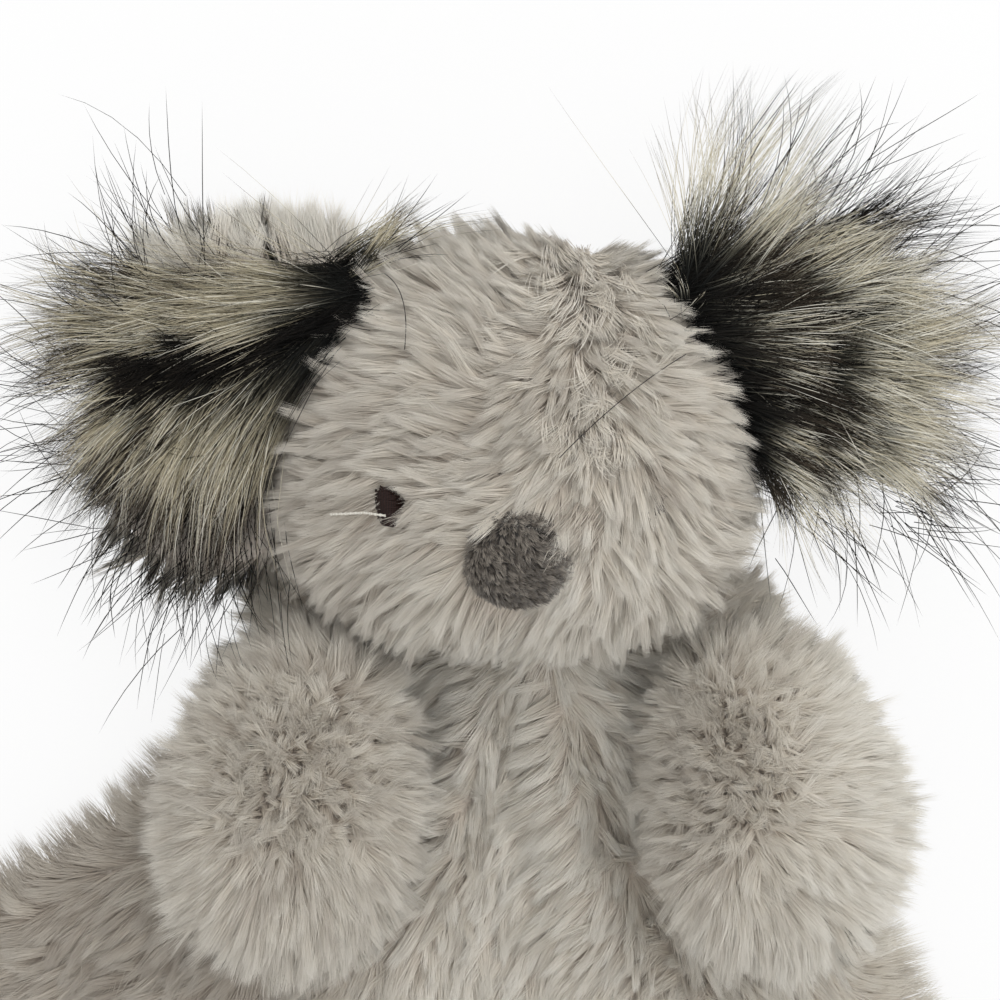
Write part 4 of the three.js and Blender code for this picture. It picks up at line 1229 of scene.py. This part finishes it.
# the blanket: two layers of plush cut alike, gathered along the neck edge
blanket = {
    "corners": [(-51, 12), (61, 12), (-163, -291), (155, -291)],  # neck left and right, hem left and right
    "takenIn": 7.0,       # the cloth ends this far inside the pile's outline
    "pileDepth": 7.0,
    "edgeHeight": 4.6,    # where the front layer meets the back one
    "edgeRound": 13.0,    # it rounds down over this distance
    "neckRound": 6.0,     # and over this one at the neck
    "clothThick": 1.0,
    "backHeight": 3.4,    # of the back layer, over its pressed pile
    "lowest": 0.35,       # no hair lies lower than this
    "flatSize": (0.33, 0.31),  # each layer as cut, in metres
    "clothArea": 0.080,
    # the pile is coarser past the part that is looked at closely: hairs, width, hairs in a lock
    "frontParts": {"near": (130000, 0.27, 50), "far": (138000, 0.4, 30)},
    "seenBelow": -95,
    "backHairs": 30000,
    "backHairWidth": 0.8,
    "frontHair": {"steps": 1, "length": 12.0, "uneven": 0.22, "lockUneven": 0.16, "lock": 0.78, "swirl": 12,
                  "swirlSize": 24, "lockTurn": 13, "stray": 7, "lean": (42, 79), "lift": 6, "lockLift": 13,
                  "wave": 0.06},
    # long pile of the shoulders, which shows between the ears and the arms
    "shoulders": {"left": {"line": [(-53, 5), (-51, 10), (-47, 15)], "angles": [150, 138, 125]},
                  "right": {"line": [(57, 3), (55, 7), (51, 10), (46, 12)], "angles": [40, 50, 60, 65],
                            "length": 10}},
    "shoulder": {"heights": (9, 17), "hairs": 5000, "length": 13, "tone": 0.45, "perLock": 40, "lock": 0.7},
    # creases down from the neck: their line, the comb on the left and right of it, reach, depth
    "creases": [([(9.5, -4), (18, -23), (24, -41), (31, -57), (38, -68), (48, -82)], -158, -28, 13, 2.6),
                ([(1.3, -4), (1.3, -22), (-5, -36), (-9.5, -52), (-12, -62)], 182, -100, 8, 2.8)],
    "paintedCreaseShade": 0.45,  # painted shade: darker by this along a crease
    "nap": [(4, -12, -125), (7, -27, -150), (12, -40, -152), (18, -54, -140), (-16, -40, -175),
            (-16, -14, -130), (14, -8, -25), (24, -20, -28), (33, -36, -35), (40, -52, -45), (31, -13, -12),
            (58, -70, -65), (-86, -37, -160), (-98, -61, -150), (-62, -61, -128), (-26, -68, -110),
            (-2, -80, -100), (-140, -70, -165), (-155, -100, -150), (30, -90, -85), (90, -70, -40),
            (110, -100, -45), (0, -140, -92), (-80, -140, -115), (80, -140, -65), (-140, -180, -125),
            (140, -180, -55), (0, -220, -90), (-80, -230, -105), (80, -230, -75), (-150, -270, -120),
            (150, -270, -60), (0, -280, -90), (-48, 10, 130), (-25, 10, 95), (5, 10, 90), (35, 10, 85),
            (58, 10, 50), (-58, 2, 170), (68, 2, 10)],
    # its tone: x, y, from 0 for dark to 1 for light; painted light on the chest, which the arms and head
    # shade, and painted shade on the left wing
    "tone": [(0, -20, 1.0), (20, -40, 0.95), (-14, -40, 0.95), (40, -70, 0.6), (-60, -60, 0.16),
             (-110, -60, 0.1), (-150, -80, 0.12), (0, -90, 0.56), (100, -90, 0.55), (0, -200, 0.45),
             (-120, -200, 0.4), (120, -200, 0.45)],
}


def outlineLoop(node):
    points, faces = nodeMesh(node)
    bottom = faces[(points[faces][:, :, 2] < 0.05).all(1)]
    edges = {}
    for a, b, c in bottom.tolist():
        for first, second in ((a, b), (b, c), (c, a)):
            key = (min(first, second), max(first, second))
            edges[key] = edges.get(key, 0) + 1
    beside = {}
    for (a, b), uses in edges.items():
        if uses == 1:
            beside.setdefault(a, []).append(b)
            beside.setdefault(b, []).append(a)
    start = next(iter(beside))
    loop, before = [start], None
    while True:
        following = [index for index in beside[loop[-1]] if index != before]
        before = loop[-1]
        if following[0] == start:
            break
        loop.append(following[0])
    return points[loop][:, :2]


def blanketGrid(takenIn, rows, columns):
    loop = outlineLoop("blanket_back_panel")
    area = 0.5 * np.sum(loop[:, 0] * np.roll(loop[:, 1], -1) - np.roll(loop[:, 0], -1) * loop[:, 1])
    if area < 0:
        loop = loop[::-1]
    along = unit(np.roll(loop, -1, 0) - np.roll(loop, 1, 0))
    inward = np.column_stack([-along[:, 1], along[:, 0]])
    neck = easeBetween(loop[:, 1], -10, 8)[:, None]
    corners = [int(np.argmin(((loop - corner) ** 2).sum(1))) for corner in blanket["corners"]]
    loop = loop + inward * takenIn * (1 - 0.6 * neck)

    def run(first, last):
        if first <= last:
            return loop[first:last + 1]
        return np.concatenate([loop[first:], loop[:last + 1]])

    neckLeft, neckRight, hemLeft, hemRight = corners
    top = evenly(run(neckRight, neckLeft)[::-1], columns)
    left = evenly(run(neckLeft, hemLeft), rows)
    hem = evenly(run(hemLeft, hemRight), columns)
    right = evenly(run(hemRight, neckRight)[::-1], rows)
    u = np.linspace(0, 1, columns)[None, :, None]
    v = np.linspace(0, 1, rows)[:, None, None]
    grid = (1 - v) * top[None] + v * hem[None] + (1 - u) * left[:, None] + u * right[:, None]
    grid -= (1 - u) * (1 - v) * top[0] + u * (1 - v) * top[-1] + (1 - u) * v * hem[0] + u * v * hem[-1]
    return grid, abs(area)


def gridFaces(rows, columns):
    faces = []
    for row in range(rows - 1):
        for column in range(columns - 1):
            a = row * columns + column
            faces += [(a, a + columns, a + columns + 1), (a, a + columns + 1, a + 1)]
    return np.array(faces)


def smoothGrid(heights, times):
    for _ in range(times):
        padded = np.pad(heights, 1, mode="edge")
        heights = 0.4 * heights + 0.15 * (padded[:-2, 1:-1] + padded[2:, 1:-1]
                                          + padded[1:-1, :-2] + padded[1:-1, 2:])
    return heights


# a closed cloth layer from a grid of heights
def layerPiece(name, grid, heights, thickness, material):
    rows, columns = heights.shape
    lower = np.dstack([grid, heights]).reshape(-1, 3)
    upper = lower + np.array([0, 0, thickness])
    faces = gridFaces(rows, columns)
    count = rows * columns
    rim = list(range(columns))
    rim += [row * columns + columns - 1 for row in range(1, rows)]
    rim += [(rows - 1) * columns + column for column in range(columns - 2, -1, -1)]
    rim += [row * columns for row in range(rows - 2, 0, -1)]
    walls = []
    for a, b in zip(rim, rim[1:] + rim[:1]):
        walls += [(a, b, b + count), (a, b + count, a + count)]
    everything = np.concatenate([faces + count, faces[:, ::-1], np.array(walls)])
    piece = makePiece(name, np.concatenate([lower, upper]), everything, material)
    return piece, surfaceOf(upper, faces), surfaceOf(lower, faces[:, ::-1])


# what reaches the neck is left where it is, on no body, and the rest lies still on the blanket's body
def bendAtNeck(piece, slot, *nodes):
    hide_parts(*nodes)
    high = max(point[1] for point in piece.bound_box)
    if high > -0.008:
        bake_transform(piece)
    else:
        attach(piece, "blanket")
    return piece


def creasedWay(points, ways):
    for line, left, right, reach, _ in blanket["creases"]:
        gap = besideLine(points, line)
        share = np.exp(-(gap / reach) ** 2)[:, None]
        across = (0.5 + 0.5 * np.tanh(gap / 1.2))[:, None]
        sides = [np.array([math.cos(angle), math.sin(angle), 0]) for angle in np.radians([left, right])]
        ways = ways * (1 - share) + share * (sides[0] * (1 - across) + sides[1] * across)
    return ways


def buildBlanket():
    rng = np.random.default_rng(61)
    rows, columns = 104, 100
    grid, area = blanketGrid(blanket["takenIn"], rows, columns)
    points, faces = nodeMesh("blanket_front_panel")
    tree = treeOf(points, faces)
    tops = np.zeros((rows, columns))
    for row in range(rows):
        for column in range(columns):
            x, y = grid[row, column]
            hit = tree.ray_cast(Vector((x, y, 200)), Vector((0, 0, -1)))
            tops[row, column] = hit[0][2] if hit[0] is not None else 12
    tops = smoothGrid(tops, 3)
    flatPoints = np.dstack([grid, np.zeros((rows, columns))]).reshape(-1, 3)
    bumps = (0.5 * ripple(flatPoints, 26, rng) + 0.3 * ripple(flatPoints, 11, rng)).reshape(rows, columns)
    dents = np.zeros(rows * columns)
    for line, _, _, _, depth in blanket["creases"]:
        dents += depth * np.exp(-(besideLine(flatPoints, line) / 4) ** 2)
    heights = np.maximum(tops - blanket["pileDepth"] + bumps - dents.reshape(rows, columns), 6.3)
    # the front layer rounds down to the back one, where they are sewn together
    for sewn, reach in ((np.concatenate([grid[1:, -1], grid[-1, :-1], grid[1:, 0]]), blanket["edgeRound"]),
                        (grid[0], blanket["neckRound"])):
        near = nearestOf(np.column_stack([sewn, np.zeros(len(sewn))]), flatPoints)
        inside = np.linalg.norm(flatPoints[:, :2] - sewn[near], axis=1).reshape(rows, columns)
        rounded = np.sqrt(1 - (1 - np.clip(inside / reach, 0, 1)) ** 2)
        heights = blanket["edgeHeight"] + (heights - blanket["edgeHeight"]) * rounded
    thick, low = blanket["clothThick"], np.full((rows, columns), blanket["backHeight"])
    frontCloth, frontTop, _ = layerPiece("blanket_front_cloth", grid, heights, thick, plushCloth)
    backCloth, _, backUnder = layerPiece("blanket_back_cloth", grid, low, thick, plushCloth)
    # round the outline the pile stands outwards
    rim = np.concatenate([grid[0], grid[1:, -1], grid[-1, :-1][::-1], grid[1:-1, 0][::-1]])
    rimWay = unit(np.roll(rim, -1, 0) - np.roll(rim, 1, 0))
    rimOut = np.column_stack([-rimWay[:, 1], rimWay[:, 0], np.zeros(len(rim))])
    rimPlaces = np.column_stack([rim, np.zeros(len(rim))])

    def turnOut(roots, flow, reach):
        near = nearestOf(rimPlaces, roots * np.array([1, 1, 0]))
        gap = np.linalg.norm(roots[:, :2] - rim[near], axis=1)
        share = np.exp(-(gap / reach) ** 2)[:, None]
        return unit(flow * (1 - share) + rimOut[near] * share * 1.4), share[:, 0], rimOut[near]

    # front pile: finer where the blanket is looked at closely
    hair = blanket["frontHair"]
    for part, (want, width, perLock) in blanket["frontParts"].items():
        roots, normals = scatter(frontTop, want * 4 * thinning, rng)
        mine = (roots[:, 1] + rng.normal(0, 9, len(roots)) > blanket["seenBelow"]) == (part == "near")
        roots, normals = roots[mine][:int(want * thinning)], normals[mine][:int(want * thinning)]
        flow = creasedWay(roots, combedWay(roots, blanket["nap"], 14))
        flow, edge, _ = turnOut(roots, unit(flow), 6)
        flow = layOn(flow, normals, np.array([[0, -1.0, 0]]))
        lean = [angle * (1 - 0.65 * edge) for angle in hair["lean"]]  # the rim's pile stands out
        settings = dict(hair, lock=hair["lock"] * (1 - 0.7 * edge), perLock=perLock, lean=lean)
        paths, lockTone = growHairs(roots, normals, flow, settings, rng)
        paths[:, :, 2] = np.maximum(paths[:, :, 2], blanket["lowest"])
        # painted light on the chest and painted shade on the left wing, read off the tone table
        tones = readTable(roots, blanket["tone"], 24)[:, 0]
        tones = tones + (0.08 + 0.13 * tones) * lockTone + rng.normal(0, 0.03, len(roots))
        for line, *_ in blanket["creases"]:  # painted shade along the creases
            tones -= blanket["paintedCreaseShade"] * np.exp(-(besideLine(roots, line) / 1.7) ** 2)
        for piece in hairPieces(f"blanket_front_{part}_pile", paths, width, tones, plushHair, rng,
                                -roots[:, 1], normals):
            bendAtNeck(piece, "plush", "blanket_front_panel")
    for side, tuft in blanket["shoulders"].items():
        piece = plushTuft(f"blanket_front_{side}_shoulder", dict(blanket["shoulder"], **tuft), rng)
        bendAtNeck(piece, "plush", "blanket_front_panel")
    # back pile: pressed flat under the blanket's own weight, turned outwards round the edge
    roots, normals = scatter(backUnder, blanket["backHairs"] * thinning, rng)
    flow, edge, outside = turnOut(roots, unit(combedWay(roots, blanket["nap"], 14)), 8)
    flow = layOn(flow, normals, np.array([[0, -1.0, 0]]))
    facing = unit(normals * (1 - edge)[:, None] + (outside + np.array([0, 0, 0.5])) * edge[:, None])
    settings = dict(hair, length=9, lean=(62, 80), perLock=18, lock=0.4)
    paths, lockTone = growHairs(roots, normals, flow, settings, rng)
    paths[:, :, 2] = np.maximum(paths[:, :, 2], blanket["lowest"])
    tones = 0.46 + 0.08 * lockTone + rng.normal(0, 0.07, len(roots))
    for piece in hairPieces("blanket_back_pile", paths, blanket["backHairWidth"], tones, plushHair, rng,
                            -roots[:, 1], facing):
        bendAtNeck(piece, "plush", "blanket_back_panel")
    bendAtNeck(frontCloth, "plush", "blanket_front_panel")
    bendAtNeck(backCloth, "plush", "blanket_back_panel")
    print("blanket: two cloths and their pile made, area inside the outline", int(area), "sq mm")


buildBlanket()

# the thread that draws the neck edge in: two plies, dipping in and out, with its ends inside
gather = {"plyRadius": 0.42, "plyOut": 0.38, "twist": 3.2, "dip": 0.2, "stitch": 7, "endIn": 9}


def buildGather():
    low, high = (np.array(corner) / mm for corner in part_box("neck_gather_thread"))
    places = np.linspace(low[0] + gather["endIn"], high[0] - gather["endIn"], 220)
    _, middleY, middleZ = (low + high) / 2
    middleZ = middleZ + gather["dip"] * np.sin(places * 2 * math.pi / gather["stitch"])
    plies = []
    for ply in range(2):
        turn = places * 2 * math.pi / gather["twist"] + ply * math.pi
        out = gather["plyOut"]
        plies.append(np.column_stack([places, middleY + out * np.cos(turn), middleZ + out * np.sin(turn)]))
    points, faces = tubeMesh(plies, [gather["plyRadius"]] * 2, 6)
    piece = makePiece("neck_gather_twist", points, faces, neckThread)
    bendAtNeck(piece, "gather_thread", "neck_gather_thread")
    print("neck: gather thread made")


buildGather()

# floor, light and camera
studio = {"keyPower": 6.6, "keySize": 1.3, "keyPlace": (0.32, 0.26, 1.2), "keyAim": (0, 0, 0.04),
          "worldLevel": 0.75, "floorGlow": 0.86, "floorHalf": 3.0, "floorBelow": 0.0004,
          "cameraPlace": (-0.0023, 0.0353, 0.520), "lens": 75, "sensor": 36}


# 1 for rays that show the background: straight, reflected or through glass
def seenRays(nodes, links):
    path = nodes.new("ShaderNodeLightPath")
    found = path.outputs["Is Camera Ray"]
    for kind in ("Is Glossy Ray", "Is Transmission Ray"):
        both = nodes.new("ShaderNodeMath")
        both.operation = "MAXIMUM"
        links.new(found, both.inputs[0])
        links.new(path.outputs[kind], both.inputs[1])
        found = both.outputs[0]
    return found


def buildStudio():
    scene = bpy.context.scene
    size = studio["floorHalf"]
    floor = makePiece("floor", np.array([(-size, -size, 0), (size, -size, 0),
                                         (size, size, 0), (-size, size, 0)]) / mm,
                      np.array([(0, 1, 2, 3)]), bpy.data.materials.new("white paper"), smooth=False)
    floor.location = (0, 0, -studio["floorBelow"])
    material = floor.data.materials[0]
    material.use_nodes = True
    nodes, links = material.node_tree.nodes, material.node_tree.links
    shader, output = nodes["Principled BSDF"], nodes["Material Output"]
    shader.inputs["Base Color"].default_value = (0.93, 0.93, 0.93, 1)
    shader.inputs["Roughness"].default_value = 0.9
    glow = nodes.new("ShaderNodeEmission")
    glow.inputs["Color"].default_value = (1, 1, 1, 1)
    glow.inputs["Strength"].default_value = 1.0
    share = nodes.new("ShaderNodeMath")
    share.operation = "MULTIPLY"
    share.inputs[1].default_value = studio["floorGlow"]
    links.new(seenRays(nodes, links), share.inputs[0])
    mix = nodes.new("ShaderNodeMixShader")
    links.new(share.outputs[0], mix.inputs[0])
    links.new(shader.outputs[0], mix.inputs[1])
    links.new(glow.outputs[0], mix.inputs[2])
    links.new(mix.outputs[0], output.inputs["Surface"])

    world = bpy.data.worlds.new("white room")
    scene.world = world
    world.use_nodes = True
    nodes, links = world.node_tree.nodes, world.node_tree.links
    room = nodes["Background"]
    room.inputs["Color"].default_value = (1, 1, 1, 1)
    room.inputs["Strength"].default_value = studio["worldLevel"]
    seen = nodes.new("ShaderNodeBackground")
    seen.inputs["Color"].default_value = (1, 1, 1, 1)
    seen.inputs["Strength"].default_value = 1.0
    mix = nodes.new("ShaderNodeMixShader")
    links.new(seenRays(nodes, links), mix.inputs[0])
    links.new(room.outputs[0], mix.inputs[1])
    links.new(seen.outputs[0], mix.inputs[2])
    links.new(mix.outputs[0], nodes["World Output"].inputs["Surface"])

    key = bpy.data.objects.new("key light", bpy.data.lights.new("key light", "AREA"))
    key.data.energy = studio["keyPower"]
    key.data.shape = "DISK"
    key.data.size = studio["keySize"]
    key.location = studio["keyPlace"]
    key.rotation_euler = (Vector(studio["keyAim"]) - key.location).to_track_quat("-Z", "Y").to_euler()
    scene.collection.objects.link(key)

    camera = bpy.data.objects.new("camera", bpy.data.cameras.new("camera"))
    camera.data.lens = studio["lens"]
    camera.data.sensor_width = studio["sensor"]
    camera.data.clip_start = 0.01
    camera.location = studio["cameraPlace"]
    camera.rotation_euler = (0, 0, 0)  # straight down
    scene.collection.objects.link(camera)
    scene.camera = camera
    scene.view_settings.view_transform = "Standard"
    print("studio: floor, light and camera set")


buildStudio()
